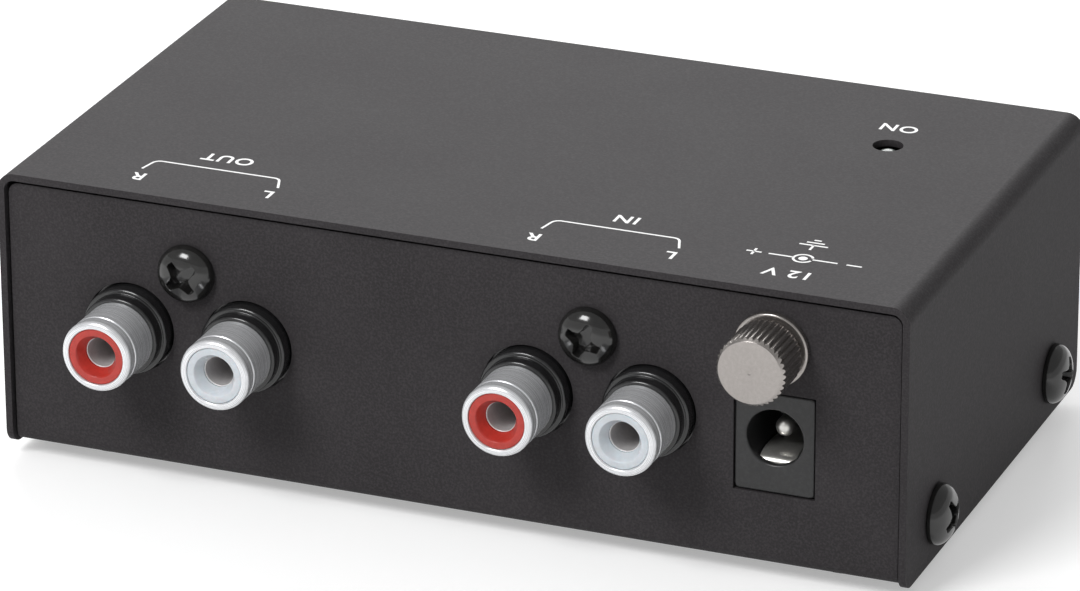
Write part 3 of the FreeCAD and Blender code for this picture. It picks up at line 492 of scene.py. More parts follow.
def shader_group(name):
    makers = {"surface_grain": grain_group, "turning_marks": turning_group, "fine_dust": dust_group}
    return bpy.data.node_groups.get(name) or makers[name]()


def finish_of(slot):
    """The material of a slot, built on its first use from the table of finishes."""
    name = "finish_" + slot
    known = bpy.data.materials.get(name)
    if known:
        return known
    look = finish_table()[slot]
    material = bpy.data.materials.new(name)
    material.use_nodes = True
    tree = material.node_tree
    dark, light = ((*np.clip(np.broadcast_to(look[key], 3), 0, 1), 1) for key in ("dark", "light"))
    grain = node(tree, "Group", node_tree=shader_group("surface_grain"))
    feed(tree, grain, {"Dark": dark, "Light": light, "Roughness": look["rough"],
                       "Roughness Spread": look["spread"], "Fine Scale": look["fine"],
                       "Broad Scale": look["broad"]})
    colour_out, rough_out = grain.outputs["Colour"], grain.outputs["Roughness"]
    bump = node(tree, "Bump", {"Strength": 1.0, "Distance": look["height"] * MM,
                               "Height": grain.outputs["Height"]})
    if look.get("rings"):
        rings = node(tree, "Group", node_tree=shader_group("turning_marks"))
        feed(tree, rings, {"Fineness": look["rings"], "Roughness": look["rough"], "Spread": look["spread"]})
        marks = node(tree, "Bump", {"Strength": 1.0, "Distance": look["ring_height"] * MM,
                                    "Height": rings.outputs["Height"]})
        feed(tree, bump, {"Normal": marks.outputs["Normal"]})
        rough_out = rings.outputs["Roughness"]
    if look.get("dust"):
        mask = node(tree, "Group", node_tree=shader_group("fine_dust")).outputs["Mask"]
        tint = node(tree, "Mix", {"B": (0.16, 0.155, 0.15, 1)}, data_type="RGBA")
        feed(tree, tint, {"Factor": scaled(tree, mask, look["dust"]), "A": colour_out})
        colour_out = tint.outputs["Result"]
    shader = tree.nodes["Principled BSDF"]
    feed(tree, shader, {
        "Base Color": colour_out, "Roughness": rough_out, "Normal": bump.outputs["Normal"],
        "Metallic": look.get("metallic", 0.0), "Coat Weight": look.get("coat", 0.0), "Coat Roughness": 0.12,
        "Specular IOR Level": look.get("specular", 0.5), "Transmission Weight": look.get("glass", 0.0),
    })
    if look.get("scatter"):
        feed(tree, shader, {"Subsurface Weight": look["scatter"], "Subsurface Radius": (1.0, 0.6, 0.5),
                            "Subsurface Scale": 0.6 * MM})
    return material


# Shapes of the object's own pieces

def screw_head(origin, direction, radius, height, shank, reach, turn, pitch=0.0, segments=160):
    """Head: height = rim + (top - rim) * sqrt(1 - (r / radius) ** 2.4), less a cross recess.
    The recess is as deep as a smooth step across its arms times a gentler one along them.
    Below it stand the rim, the shank, its thread as a cosine of angle less height, and a closed point."""
    rim = 0.16 * height
    slope = np.sin(np.linspace(0, math.pi / 2, 88))
    head = np.stack([radius * slope, rim + (height - rim) * np.sqrt(np.clip(1 - slope ** 2.4, 0, 1))], -1)
    tip = 0.4 * shank
    rows = 60 if pitch else 3
    below = np.concatenate([
        [[radius, 0.05 * height], [radius - 0.05 * height, 0], [shank, 0]],
        np.stack([np.full(rows, shank), np.linspace(-0.02 * reach, tip - reach, rows)], -1),
        [[shank - tip, -reach], [0, -reach]],
    ])
    profile = np.concatenate([head, below])
    angle = full_turn(segments)
    r, h = profile[:, :1], profile[:, 1:2] + 0 * angle
    across, along = np.abs(r * np.cos(angle - turn)), np.abs(r * np.sin(angle - turn))
    u, v = np.maximum(across, along), np.minimum(across, along)
    half = radius * (0.105 + 0.15 * np.exp(-(u / (0.3 * radius)) ** 2))

    def step(x):
        x = np.clip(x, 0, 1)
        return x * x * (3 - 2 * x)

    recess = step((half - v) / (0.06 * radius) + 0.5) * step((0.56 * radius - u) / (0.14 * radius) + 0.5)
    on_head = (np.arange(len(profile)) < len(head))[:, None]
    h = h - on_head * recess * 0.62 * height
    if pitch:
        thread = (np.abs(r - shank) < 1e-9) & (profile[:, 1:2] < -0.01 * reach)
        r = r - thread * 0.42 * pitch * (0.5 + 0.5 * np.cos(angle - 2 * math.pi * h / pitch))
    return wound(profile, r + 0 * angle, h, angle, origin, direction)


def tab(x, y, z):
    """A flat solder leg between two values of y and two of z."""
    return block((x - TAB_HALF, y[0], z[0]), (x + TAB_HALF, y[1], z[1]))


def round_cutter(x, y, z, radius, direction, low, high):
    """A plain rod from low to high along an axis, to cut a hole."""
    profile = np.array([(0, low), (radius, low), (radius, high), (0, high)], float)
    return turned(profile, (x, y, z), direction, segments=96)


def rounded_rectangle(angle, half_width, half_height, radius):
    """The point of a rectangle in the direction of an angle, pulled onto its corner circle."""
    ray = np.stack([np.cos(angle), np.sin(angle)], -1)
    outer = np.array([half_width, half_height])
    hit = ray * np.min(outer / np.maximum(np.abs(ray), 1e-9), axis=-1, keepdims=True)
    core = np.clip(hit, radius - outer, outer - radius)
    away = hit - core
    return core + radius * away / np.linalg.norm(away, axis=-1, keepdims=True)


def socket_block(low, high, hole_z, hole, depth, slot_half, slot_floor, slot_start, segments=192):
    """Rings from the middle of the back, over the rounded block, into the round hole and its floor.
    Behind the slot's start the ring is wider below: slot floor / sine of the angle, inside its half width."""
    angle = full_turn(segments)
    middle_x, middle_z = (low[0] + high[0]) / 2, (low[2] + high[2]) / 2
    half_x, half_z = (high[0] - low[0]) / 2, (high[2] - low[2]) / 2
    front, back, edge = low[1], high[1], 0.28 * MM

    def rectangle(inset, y):
        flat = rounded_rectangle(angle, half_x - inset, half_z - inset, 0.5 * MM)
        return np.stack([middle_x + flat[:, 0], np.full(segments, y), middle_z + flat[:, 1]], -1)

    def circle(radius, y, slotted=False):
        size = np.full(segments, radius)
        if slotted:
            rise, side = np.maximum(-np.sin(angle), 1e-6), np.maximum(np.abs(np.cos(angle)), 1e-6)
            below = np.minimum(slot_floor / rise, slot_half / side)
            in_slot = (np.sin(angle) < 0) & (np.abs(radius * np.cos(angle)) < slot_half)
            size = np.where(in_slot, np.maximum(size, below), size)
        return np.stack([middle_x + size * np.cos(angle), np.full(segments, y),
                         hole_z + size * np.sin(angle)], -1)

    quarter = np.linspace(0, math.pi / 2, 5)
    rings = [circle(0, back)]
    rings += [rectangle(edge * (1 - np.sin(t)), back - edge * (1 - np.cos(t))) for t in quarter]
    rings += [rectangle(edge * (1 - np.cos(t)), front + edge * (1 - np.sin(t))) for t in quarter]
    rings += [circle(hole + edge * (1 - np.sin(t)), front + edge * (1 - np.cos(t))) for t in quarter]
    floor, step = front + depth, 0.01 * MM
    rings += [circle(hole, slot_start), circle(hole, slot_start + step, True),
              circle(hole, floor - step, True), circle(hole, floor), circle(0, floor)]
    points = np.concatenate(rings)
    return points, grid_faces(len(rings), segments), np.zeros(len(points))


def ribbon(points, width, lift, level):
    """A flat printed line: both sides of a path, half a width along its normal, and a thin wall."""
    path = np.array(points, float)
    side = normals(path) * width / 2
    sides = np.stack([path - side, path + side, path + side, path - side], 1)
    heights = np.broadcast_to([level, level, level + lift, level + lift], sides.shape[:2])
    local = np.concatenate([sides, heights[:, :, None]], -1).reshape(-1, 3)
    return local, bar_faces(len(path)), np.zeros(len(local))


def dense(points):
    """Corners rounded, so that a printed line bends as a drawn one does."""
    return rounded([(*p, 0.0 if i in (0, len(points) - 1) else 0.9 * MM) for i, p in enumerate(points)])


class PieceOperator:
    bl_options = {"REGISTER", "UNDO"}


class PREAMP_OT_case(PieceOperator, bpy.types.Operator):
    """Fold the cover and the base from sheet, with their holes and soft painted edges"""
    bl_idname = "preamp.case"
    bl_label = "Case"

    def execute(self, context):
        size = context.scene.preamp_case
        self.cover(size)
        self.base(size)
        return {"FINISHED"}

    def cover(self, size):
        low, high = box_of("top_cover")
        lamp = middle_of("led_lens")
        points, faces, along = folded_sheet(high[0], low[2], high[2], size.cover_bend, size.sheet,
                                            (low[1], high[1]), size.wall_corner)
        sheet = (points[:, [0, 2, 1]], faces, along)
        holes = [round_cutter(lamp[0], lamp[1], high[2], size.lamp_hole, "+Z", -3 * size.sheet, size.sheet)]
        for side, direction, y, z in cover_screw_places():
            holes.append(round_cutter(side * high[0], y, z, size.lamp_hole, direction, -3 * size.sheet,
                                      size.sheet))
        piece("cover", [sheet], "case_paint", nodes=["top_cover"], soft=size.soft_edge, holes=holes, sharp=25)

    def base(self, size):
        low, high = box_of("base_chassis")
        middle_y, half_y = (low[1] + high[1]) / 2, (high[1] - low[1]) / 2
        wall_gap, socket_gap, stud_hole = 0.25 * MM, 0.1 * MM, 2.05 * MM
        side = box_of("top_cover")[1][0] - size.sheet - wall_gap
        points, faces, along = folded_sheet(half_y, high[2], low[2], size.base_bend, size.sheet,
                                            (-side, side), size.panel_corner)
        sheet = (points[:, [2, 0, 1]] + (0, middle_y, 0), faces, along)
        front = low[1]
        holes = []
        for jack in JACKS:
            x, _, z = middle_of(jack + "_insert")
            holes.append(round_cutter(x, front, z, size.collar_hole, "+Y", -size.sheet, 2 * size.sheet))
        stud = middle_of("ground_washer")
        holes.append(round_cutter(stud[0], front, stud[2], stud_hole, "+Y", -size.sheet, 2 * size.sheet))
        socket_low, socket_high = box_of("dc_jack_body")
        socket_floor = socket_high[2] - SOCKET_TALL
        holes.append(block((socket_low[0] - socket_gap, front - size.sheet, socket_floor - socket_gap),
                           (socket_high[0] + socket_gap, front + 2 * size.sheet, socket_high[2] + socket_gap)))
        piece("base", [sheet], "case_paint", nodes=["base_chassis"], soft=size.soft_edge, holes=holes,
              sharp=25)
        self.lugs(size)

    def lugs(self, size):
        """Four ears folded up from the base's edge, against the inside of the cover's walls."""
        bottom = box_of("base_chassis")[0][2] + size.sheet
        inner = box_of("top_cover")[1][0] - size.sheet
        half_width, above_screw = 4.5 * MM, 4 * MM
        ears = []
        for side, _, y, z in cover_screw_places():
            x = sorted((side * inner, side * (inner - size.sheet)))
            ears.append(block((x[0], y - half_width, bottom), (x[1], y + half_width, z + above_screw)))
        piece("base_lugs", ears, "case_paint", soft=size.soft_edge)


class PREAMP_OT_screws(PieceOperator, bpy.types.Operator):
    """Black pan head screws with cross recesses, in the cover's walls and above the jacks"""
    bl_idname = "preamp.screws"
    bl_label = "Screws"

    def execute(self, context):
        wall = box_of("top_cover")[1][0]
        tall, reach = box_of("cover_screws")[1][0] - wall, 5 * MM
        screws = []
        for (side, direction, y, z), turn in zip(cover_screw_places(), (0.5, 1.2, 0.5, 1.2)):
            screws.append(screw_head((side * wall, y, z), direction, PAN_HEAD, tall, PAN_SHANK, reach, turn))
        piece("cover_screw_set", screws, "black_screw", nodes=["cover_screws"])
        low, high = box_of("jack_screws")
        panel = box_of("base_chassis")[0][1]
        radius, z = (high[2] - low[2]) / 2, (low[2] + high[2]) / 2
        screws = []
        for x, turn in ((low[0] + radius, math.radians(40)), (high[0] - radius, math.radians(66))):
            screws.append(screw_head((x, panel, z), "-Y", radius, panel - low[1], PAN_SHANK,
                                     high[1] - panel, turn))
        piece("jack_screw_pair", screws, "black_screw", nodes=["jack_screws"])
        return {"FINISHED"}


class PREAMP_OT_jacks(PieceOperator, bpy.types.Operator):
    """Jack mouldings with stepped collars, plated shells, coloured inserts and their contacts"""
    bl_idname = "preamp.jacks"
    bl_label = "Phono jacks"

    def execute(self, context):
        size = context.scene.preamp_jack
        for pair in ("output", "input"):
            self.moulding(size, pair)
        for jack in JACKS:
            self.shell(size, jack)
            self.insert(size, jack)
            self.contact(size, jack)
        return {"FINISHED"}

    def moulding(self, size, pair):
        name = pair + "_jack_body"
        low, high = box_of(name)
        panel = box_of("base_chassis")[0][1]
        inner = panel + bpy.context.scene.preamp_case.sheet
        seat, back = 3.85 * MM, panel - inner
        profile = rounded([
            (seat, back, 0), (size.collar, back, 0), (size.collar, size.collar_reach, 0.3 * MM),
            (size.neck, size.collar_reach, 0.12 * MM), (size.neck, size.neck_reach, 0.28 * MM),
            (seat, size.neck_reach, 0),
        ], closed=True)
        surfaces = []
        for side in ("_right", "_left"):
            centre = middle_of(pair + side + "_insert")
            surfaces.append(turned(profile, (centre[0], panel, centre[2]), "-Y", closed=True))
        piece(pair + "_collars", surfaces, "jack_moulding", nodes=[name])
        middle = (low[0] + high[0]) / 2
        shoulder = middle_of(pair + "_left_insert")[2] + 5.9 * MM
        half_tower, tower_back = 4.2 * MM, inner + 8 * MM
        blocks = [
            block((low[0], inner, low[2]), (high[0], high[1], shoulder)),
            block((middle - half_tower, inner, shoulder), (middle + half_tower, tower_back, high[2])),
        ]
        piece(pair + "_jack_block", blocks, "jack_moulding", soft=0.3 * MM)

    def shell(self, size, jack):
        name = jack + "_shell"
        low, high = box_of(name)
        centre = middle_of(jack + "_insert")
        radius, reach = SHELL_RADIUS, high[1] - low[1]
        bore, groove = radius - size.shell_wall, size.groove
        line = reach - size.groove_back
        seat = high[1] - box_of("base_chassis")[0][1] + size.neck_reach
        profile = rounded([
            (bore, 0, 0), (radius - 0.2 * MM, 0, 0), (radius - 0.2 * MM, seat, 0), (radius, seat, 0),
            (radius, line - 2.2 * groove, 0.05 * MM), (radius - groove, line - 1.3 * groove, 0.04 * MM),
            (radius - groove, line - 0.9 * groove, 0.04 * MM), (radius, line, 0.08 * MM),
            (radius, reach, size.lip_round), (bore + 0.02 * MM, reach, 0.16 * MM),
            (bore + 0.02 * MM, reach - 0.5 * MM, 0), (bore, reach - 0.5 * MM, 0),
        ], closed=True, steps=10)
        leg = tab(centre[0], (high[1] - 1.0 * MM, high[1] - 0.5 * MM),
                  (low[2], centre[2] - radius + 0.4 * MM))
        barrel = turned(profile, (centre[0], high[1], centre[2]), "-Y", closed=True, segments=160)
        piece(jack + "_sleeve", [barrel, leg], "shell_plating", nodes=[name])

    def insert(self, size, jack):
        name = jack + "_insert"
        low, high = box_of(name)
        centre = (low + high) / 2
        reach, outer = high[1] - low[1], (high[2] - low[2]) / 2
        tube, seat = TUBE_RADIUS, 13.4 * MM
        profile = rounded([
            (tube, 0, 0), (outer, 0, 0), (outer, reach, 0.14 * MM), (size.mouth + 0.12 * MM, reach, 0.1 * MM),
            (size.mouth, reach - 0.18 * MM, 0.1 * MM), (size.throat + 0.1 * MM, reach - 1.2 * MM, 0.2 * MM),
            (size.throat + 0.1 * MM, seat, 0), (tube, seat, 0),
        ], closed=True)
        slot = "red_insert" if "right" in jack else "white_insert"
        piece(jack + "_core", [turned(profile, (centre[0], high[1], centre[2]), "-Y", closed=True)], slot,
              nodes=[name])

    def contact(self, size, jack):
        name = jack + "_contact"
        low, high = box_of(name)
        centre = middle_of(jack + "_insert")
        reach = high[1] - low[1]
        profile = rounded([
            (0, 0, 0), (TUBE_RADIUS, 0, 0.1 * MM), (TUBE_RADIUS, reach, 0.08 * MM),
            (size.throat, reach, 0.08 * MM), (size.throat, 0.5 * MM, 0.1 * MM), (0, 0.5 * MM, 0),
        ])
        leg = tab(centre[0], (high[1] - 0.5 * MM, high[1]), (low[2], centre[2] - 1.2 * MM))
        tube = turned(profile, (centre[0], high[1], centre[2]), "-Y")
        # The tube takes the lighter copy of the contact plating: painted light in place of what it reflects
        # from its insert.
        piece(jack + "_tube", [tube, leg], "contact_plating", nodes=[name], finish="tube_plating_painted_light")


class PREAMP_OT_socket(PieceOperator, bpy.types.Operator):
    """The power socket's moulding with its centre pin and spring leaf"""
    bl_idname = "preamp.socket"
    bl_label = "Power socket"

    def execute(self, context):
        low, high = box_of("dc_jack_body")
        floor = high[2] - SOCKET_TALL
        hole_z = (floor + high[2]) / 2 + 0.65 * MM
        middle_x = (low[0] + high[0]) / 2
        front = low[1]
        rib = 1 * MM
        ribs = [block((x, front + 2 * MM, low[2]), (x + rib, high[1], floor + 0.5 * MM))
                for x in (low[0], high[0] - rib)]
        slot_half, slot_floor, slot_start = 2.2 * MM, 3.67 * MM, front + 0.7 * MM
        body = socket_block((low[0], front, floor), high, hole_z, SOCKET_HOLE, SOCKET_DEEP, slot_half,
                            slot_floor, slot_start)
        piece("power_socket_body", [body] + ribs, "socket_moulding", nodes=["dc_jack_body"])
        self.pin(middle_x, front, high[1], hole_z)
        self.leaf(middle_x, front, hole_z)
        return {"FINISHED"}

    def pin(self, x, front, back, z):
        low, high = box_of("dc_centre_pin")
        radius = 1.05 * MM
        floor = front + SOCKET_DEEP - 0.1 * MM
        reach = floor - low[1]
        profile = rounded([(0, 0, 0), (radius, 0, 0), (radius, reach, 0.9 * MM), (0, reach, 0)], steps=12)
        rivet = rounded([(0, 0, 0), (0.8 * MM, 0, 0.1 * MM), (0.8 * MM, high[1] - back, 0),
                         (0, high[1] - back, 0)])
        leg = tab(x, (back, high[1] - 0.02 * MM), (low[2], z))
        surfaces = [turned(profile, (x, floor, z), "-Y"), turned(rivet, (x, high[1], z), "-Y"), leg]
        piece("power_pin", surfaces, "contact_plating", nodes=["dc_centre_pin"])

    def leaf(self, x, front, z):
        """Place along the leaf = length * t * t; height = floor + bulge * sine of half a turn of t."""
        low, high = box_of("dc_spring_contact")
        share = np.linspace(0, 1, 40)
        run = high[1] - low[1] - 0.3 * MM
        rise = 0.9 * MM * np.sin(math.pi * share)
        floor = z - SOCKET_HOLE - 0.15 * MM
        path = np.stack([share ** 2 * run, rise], -1)
        down = np.stack([np.full(12, run + 0.15 * MM), np.linspace(-0.3 * MM, low[2] - floor, 12)], -1)
        strip = swept_strip(np.concatenate([path, down]), high[0] - low[0], 0.3 * MM, (x, low[1], floor),
                            "-Y")
        piece("power_leaf", [strip], "contact_plating", nodes=["dc_spring_contact"])


class PREAMP_OT_terminal(PieceOperator, bpy.types.Operator):
    """The ground terminal: threaded stud, washer and knurled thumb nut"""
    bl_idname = "preamp.terminal"
    bl_label = "Ground terminal"

    def execute(self, context):
        size = context.scene.preamp_terminal
        low, high = box_of("ground_screw")
        centre = (low + high) / 2
        head, shank, hole = 2.2 * MM, 2.0 * MM, 2.15 * MM
        stud = screw_head((centre[0], high[1] - head, centre[2]), "+Y", (high[2] - low[2]) / 2, head,
                          shank, high[1] - head - low[1], 0.4, pitch=size.pitch)
        piece("ground_stud", [stud], "terminal_plating", nodes=["ground_screw"])
        low, high = box_of("ground_washer")
        thick, outer = high[1] - low[1], (high[2] - low[2]) / 2
        profile = rounded([(hole, 0, 0.05 * MM), (outer, 0, 0.15 * MM), (outer, thick, 0.25 * MM),
                           (hole, thick, 0.05 * MM)], closed=True)
        ring = turned(profile, (centre[0], high[1], centre[2]), "-Y", closed=True)
        piece("ground_ring", [ring], "terminal_plating", body="washer", nodes=["ground_washer"])
        self.nut(size)
        return {"FINISHED"}

    def nut(self, size):
        """Ridges: the radius is at most full size less tooth depth * (1 - |cos(teeth * angle / 2)|)."""
        low, high = box_of("ground_nut")
        centre = (low + high) / 2
        long, outer = high[1] - low[1], (high[2] - low[2]) / 2
        neck, bore, face = 3.2 * MM, 2.06 * MM, 3.5 * MM
        corners = [
            (0, long - 1.1 * MM, 0), (bore, long - 1.1 * MM, 0), (bore, 0, 0.1 * MM), (neck, 0, 0.1 * MM),
            (neck, 0.7 * MM, 0.1 * MM), (outer, 0.7 * MM, 0.22 * MM), (outer, long - 0.42 * MM, 0.1 * MM),
            *((outer + k * (face - outer), long - (1 - k) * 0.42 * MM, 0) for k in np.linspace(0.1, 0.9, 12)),
            (face, long, 0.08 * MM), (0.3 * MM, long, 0.1 * MM), (0, long - 0.15 * MM, 0),
        ]

        def ridges(angle):
            return outer - size.tooth_depth * (1 - np.abs(np.cos(size.teeth * angle / 2)))

        nut = turned(rounded(corners), (centre[0], high[1], centre[2]), "-Y", segments=size.teeth * 16,
                     limit=ridges)
        piece("thumb_nut_knurled", [nut], "terminal_plating", body="thumb_nut", nodes=["ground_nut"],
              sharp=30)


class PREAMP_OT_lamp(PieceOperator, bpy.types.Operator):
    """The indicator's clear lens, just under the surface of the cover; its grey-green colour is painted shade
    and painted reflection
    """
    bl_idname = "preamp.lamp"
    bl_label = "Indicator lamp"

    def execute(self, context):
        low, high = box_of("led_lens")
        centre = (low + high) / 2
        tall, rim, dome = high[2] - low[2], 1.9 * MM, 1.5 * MM
        profile = rounded([
            (0, 0, 0), (rim, 0, 0.1 * MM), (rim, 1.0 * MM, 0.1 * MM), (dome, 1.0 * MM, 0.05 * MM),
            (dome, tall, 1.35 * MM), (0, tall, 0),
        ], steps=14)
        piece("lamp_dome", [turned(profile, (centre[0], centre[1], low[2]), "+Z")], "lamp_lens",
              nodes=["led_lens"])
        return {"FINISHED"}


class PREAMP_OT_feet(PieceOperator, bpy.types.Operator):
    """Four round rubber feet with a soft lower edge and a shallow dish"""
    bl_idname = "preamp.feet"
    bl_label = "Rubber feet"

    def execute(self, context):
        low, high = box_of("rubber_feet")
        radius, tall = 4.0 * MM, high[2] - low[2]
        profile = rounded([
            (0, 0.3 * MM, 0), (1.6 * MM, 0.3 * MM, 0.3 * MM), (2.2 * MM, 0, 0.3 * MM), (radius, 0, 0.55 * MM),
            (radius, tall, 0.05 * MM), (0, tall, 0),
        ])
        feet = [turned(profile, (x, y, low[2]), "+Z", segments=96)
                for x in (low[0] + radius, high[0] - radius) for y in (low[1] + radius, high[1] - radius)]
        piece("foot_set", feet, "foot_rubber", nodes=["rubber_feet"])
        return {"FINISHED"}


class PREAMP_OT_legends(PieceOperator, bpy.types.Operator):
    """Plain printed marks on the cover: channel letters, brackets, earth and polarity signs"""
    bl_idname = "preamp.legends"
    bl_label = "Printed marks"

    def execute(self, context):
        self.size = context.scene.preamp_legend
        low, high = box_of("top_cover")
        self.left, self.near, self.level = low[0], box_of("base_chassis")[0][1], high[2] + 0.002 * MM
        lines = []
        for start, end in ((14.8, 29.5), (61.7, 75.9)):
            lines.append(dense([self.at(start - 0.5, 6.1), self.at(start, 8.8), self.at(end, 8.8),
                                self.at(end + 0.9, 6.3)]))
        strokes = (
            (86.1, 8.45, 88.85, 8.45), (91.0, 8.45, 93.8, 8.45), (83.6, 8.45, 85.3, 8.45),
            (84.45, 7.6, 84.45, 9.3), (94.8, 8.45, 96.5, 8.45), (91.4, 12.2, 88.2, 12.2),
            (90.8, 12.9, 88.8, 12.9), (90.2, 13.6, 89.4, 13.6), (89.8, 10.9, 89.8, 12.2),
        )
        lines += [np.stack([self.at(*stroke[:2]), self.at(*stroke[2:])]) for stroke in strokes]
        turn = np.linspace(0.35, 2 * math.pi - 0.35, 40)
        ring = np.stack([np.cos(turn), np.sin(turn)], -1) * 1.05 * MM + self.at(89.95, 8.45)
        marks = [ribbon(line, self.size.stroke, self.size.lift, self.level) for line in lines + [ring]]
        dot = np.array([(0, 0), (0.5 * MM, 0), (0.5 * MM, self.size.lift), (0, self.size.lift)])
        marks.append(turned(dot, (*self.at(89.95, 8.45), self.level), "+Z", segments=40))
        obj = piece("printed_lines", marks, "printed_ink")
        words = (
            ("R", 14.9, 4.0), ("L", 30.1, 4.3), ("OUT", 22.0, 12.0), ("R", 61.3, 3.7),
            ("L", 76.6, 4.3), ("IN", 68.8, 11.8), ("12 V", 89.9, 4.1), ("ON", 87.2, 47.5),
        )
        for number, (text, x, y) in enumerate(words):
            self.word("printed_word_%d" % number, text, self.at(x, y))
        return {"FINISHED"}

    def at(self, x, y):
        """A place on the cover from its left wall and the jack panel, in millimetres."""
        return np.array([self.left + x * MM, self.near + y * MM])

    def word(self, name, text, place):
        """Letters that read from the plain end, so they are turned half round."""
        curve = bpy.data.curves.new(name, "FONT")
        curve.body, curve.size, curve.extrude = text, self.size.letter / 0.69, self.size.lift / 2
        curve.offset = 0.018 * curve.size
        curve.align_x, curve.align_y, curve.space_character, curve.resolution_u = "CENTER", "CENTER", 1.12, 6
        drawn = linked(name + "_drawn", curve)
        bpy.context.view_layer.update()
        mesh = bpy.data.meshes.new_from_object(drawn.evaluated_get(bpy.context.evaluated_depsgraph_get()))
        bpy.data.objects.remove(drawn)
        half_round = Matrix.Rotation(math.pi, 4, "Z")
        mesh.transform(Matrix.Translation((*place, self.level + self.size.lift / 2)) @ half_round)
        mesh.materials.clear()
        mesh.materials.append(finish_of("printed_ink"))
        obj = linked(name, mesh)
        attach(obj, CASE)


class PREAMP_OT_inside(PieceOperator, bpy.types.Operator):
    """The finishes of the board and of everything on it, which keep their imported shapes"""
    bl_idname = "preamp.inside"
    bl_label = "Inner parts"

    def execute(self, context):
        slots = {part["node"]: part["material_slot"] for part in frame["record"]["subparts"]}
        for name, obj in frame["nodes"].items():
            obj.data.materials.clear()
            obj.data.materials.append(finish_of(slots[name]))
        return {"FINISHED"}


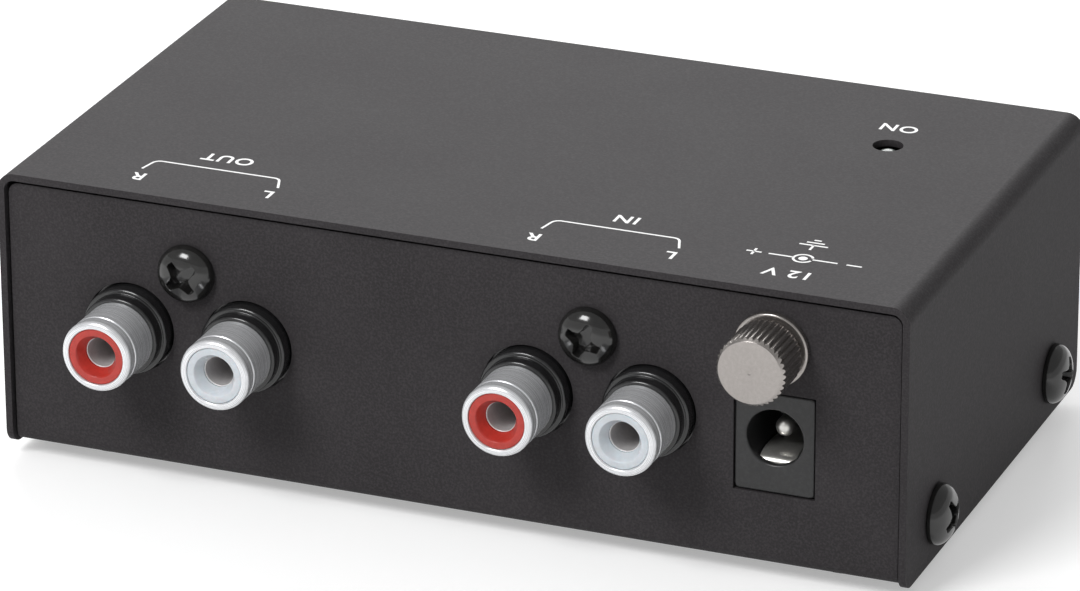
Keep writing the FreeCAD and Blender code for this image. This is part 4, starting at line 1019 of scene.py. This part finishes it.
class PREAMP_OT_stage(PieceOperator, bpy.types.Operator):
    """The pale floor, the soft lamps and the camera at the photograph's angle"""
    bl_idname = "preamp.stage"
    bl_label = "Studio"

    def execute(self, context):
        size = context.scene.preamp_stage
        context.scene.view_settings.view_transform = "Standard"
        self.camera(context, size)
        self.floor(size)
        self.world(context, size)
        self.lamp("key_lamp", (-0.22, -0.56, 0.6), 0.3, size.key_lamp)
        self.lamp("back_lamp", (-0.3, 0.75, 0.5), 0.6, size.back_lamp)
        return {"FINISHED"}

    def camera(self, context, size):
        """Right, up and forward from azimuth, elevation and roll, as the photograph was taken."""
        azimuth, elevation, roll = (math.radians(a) for a in (21.974, 22.981, -0.204))
        ahead = Vector((-math.sin(azimuth) * math.cos(elevation), math.cos(azimuth) * math.cos(elevation),
                        -math.sin(elevation)))
        level = Vector((math.cos(azimuth), math.sin(azimuth), 0))
        upright = level.cross(ahead)
        right = math.cos(roll) * level + math.sin(roll) * upright
        up = math.cos(roll) * upright - math.sin(roll) * level
        data = bpy.data.cameras.new("photo_camera")
        data.sensor_width, data.lens, data.clip_start, data.clip_end = 36, size.lens, 0.05, 20
        obj = linked("photo_camera", data)
        turn = Matrix((right, up, -ahead)).transposed().to_4x4()
        obj.matrix_world = Matrix.Translation((0.253043, -0.624897, 0.303454)) @ turn
        context.scene.camera = obj

    def floor(self, size):
        """A disc that curves up far away: height = rise * (distance past the flat part) squared."""
        reach, flat, rise, rings, spokes = 4.0, 1.6, 0.25, 40, 96
        distance, angle = np.linspace(0, 1, rings)[:, None] * reach, full_turn(spokes)
        height = rise * np.clip(distance - flat, 0, None) ** 2 + 0 * angle
        points = np.stack([distance * np.cos(angle), distance * np.sin(angle), height], -1).reshape(-1, 3)
        surface = (points, grid_faces(rings, spokes), np.zeros(len(points)))
        obj = linked("floor", mesh_of("floor", [surface]))
        obj.data.shade_smooth()
        material = bpy.data.materials.new("floor_paper")
        material.use_nodes = True
        tree = material.node_tree
        tree.nodes.clear()
        path = node(tree, "LightPath").outputs
        mirrored = node(tree, "Math", {0: path["Is Glossy Ray"], 1: path["Is Transmission Ray"]},
                        operation="MAXIMUM").outputs[0]
        seen = node(tree, "Math", {0: path["Is Camera Ray"], 1: mirrored}, operation="MAXIMUM").outputs[0]
        paper = node(tree, "BsdfDiffuse", {"Color": (*size.floor, 1)})
        glow = node(tree, "Emission", {"Color": (1, 1, 1, 1), "Strength": scaled(tree, seen, size.glow)})
        both = node(tree, "AddShader", {0: paper.outputs[0], 1: glow.outputs[0]})
        node(tree, "OutputMaterial", {"Surface": both.outputs[0]})
        obj.data.materials.append(material)

    def world(self, context, size):
        """One even pale light from all sides."""
        world = bpy.data.worlds.new("studio")
        world.use_nodes = True
        tree = world.node_tree
        feed(tree, tree.nodes["Background"], {"Color": (1, 1, 1, 1), "Strength": size.world})
        context.scene.world = world

    def lamp(self, name, place, width, power):
        """A square soft lamp that faces the object."""
        data = bpy.data.lights.new(name, "AREA")
        data.shape, data.size, data.energy = "SQUARE", width, power
        obj = linked(name, data)
        aim = (Vector((0, 0, 0.015)) - Vector(place)).to_track_quat("-Z", "Y")
        obj.matrix_world = Matrix.Translation(place) @ aim.to_matrix().to_4x4()


class PREAMP_PT_panel(bpy.types.Panel):
    """Sizes, colours and build steps of the phono preamplifier"""
    bl_label = "Phono Preamplifier"
    bl_idname = "PREAMP_PT_panel"
    bl_space_type = "VIEW_3D"
    bl_region_type = "UI"
    bl_category = "Phono Preamplifier"

    def draw(self, context):
        for label, settings, _ in SETTINGS:
            box = self.layout.box()
            group_settings = getattr(context.scene, label)
            for name in settings.__annotations__:
                box.prop(group_settings, name)
        for operator in BUILD_STEPS:
            self.layout.operator(operator.bl_idname)


SETTINGS = (
    ("preamp_case", CaseSettings, "Case"),
    ("preamp_jack", JackSettings, "Jacks"),
    ("preamp_terminal", TerminalSettings, "Ground terminal"),
    ("preamp_legend", LegendSettings, "Printed marks"),
    ("preamp_stage", StageSettings, "Studio"),
)
BUILD_STEPS = (
    PREAMP_OT_stage, PREAMP_OT_inside, PREAMP_OT_case, PREAMP_OT_screws, PREAMP_OT_jacks, PREAMP_OT_socket,
    PREAMP_OT_terminal, PREAMP_OT_lamp, PREAMP_OT_feet, PREAMP_OT_legends,
)


def register():
    for label, settings, title in SETTINGS:
        bpy.utils.register_class(settings)
        setattr(bpy.types.Scene, label, PointerProperty(type=settings, name=title))
    for cls in (*BUILD_STEPS, PREAMP_PT_panel):
        bpy.utils.register_class(cls)


def unregister():
    for cls in (PREAMP_PT_panel, *reversed(BUILD_STEPS)):
        bpy.utils.unregister_class(cls)
    for label, settings, _ in reversed(SETTINGS):
        delattr(bpy.types.Scene, label)
        bpy.utils.unregister_class(settings)


def main():
    register()
    for step in BUILD_STEPS:
        space, name = step.bl_idname.split(".")
        getattr(getattr(bpy.ops, space), name)()


if __name__ == "__main__":
    main()
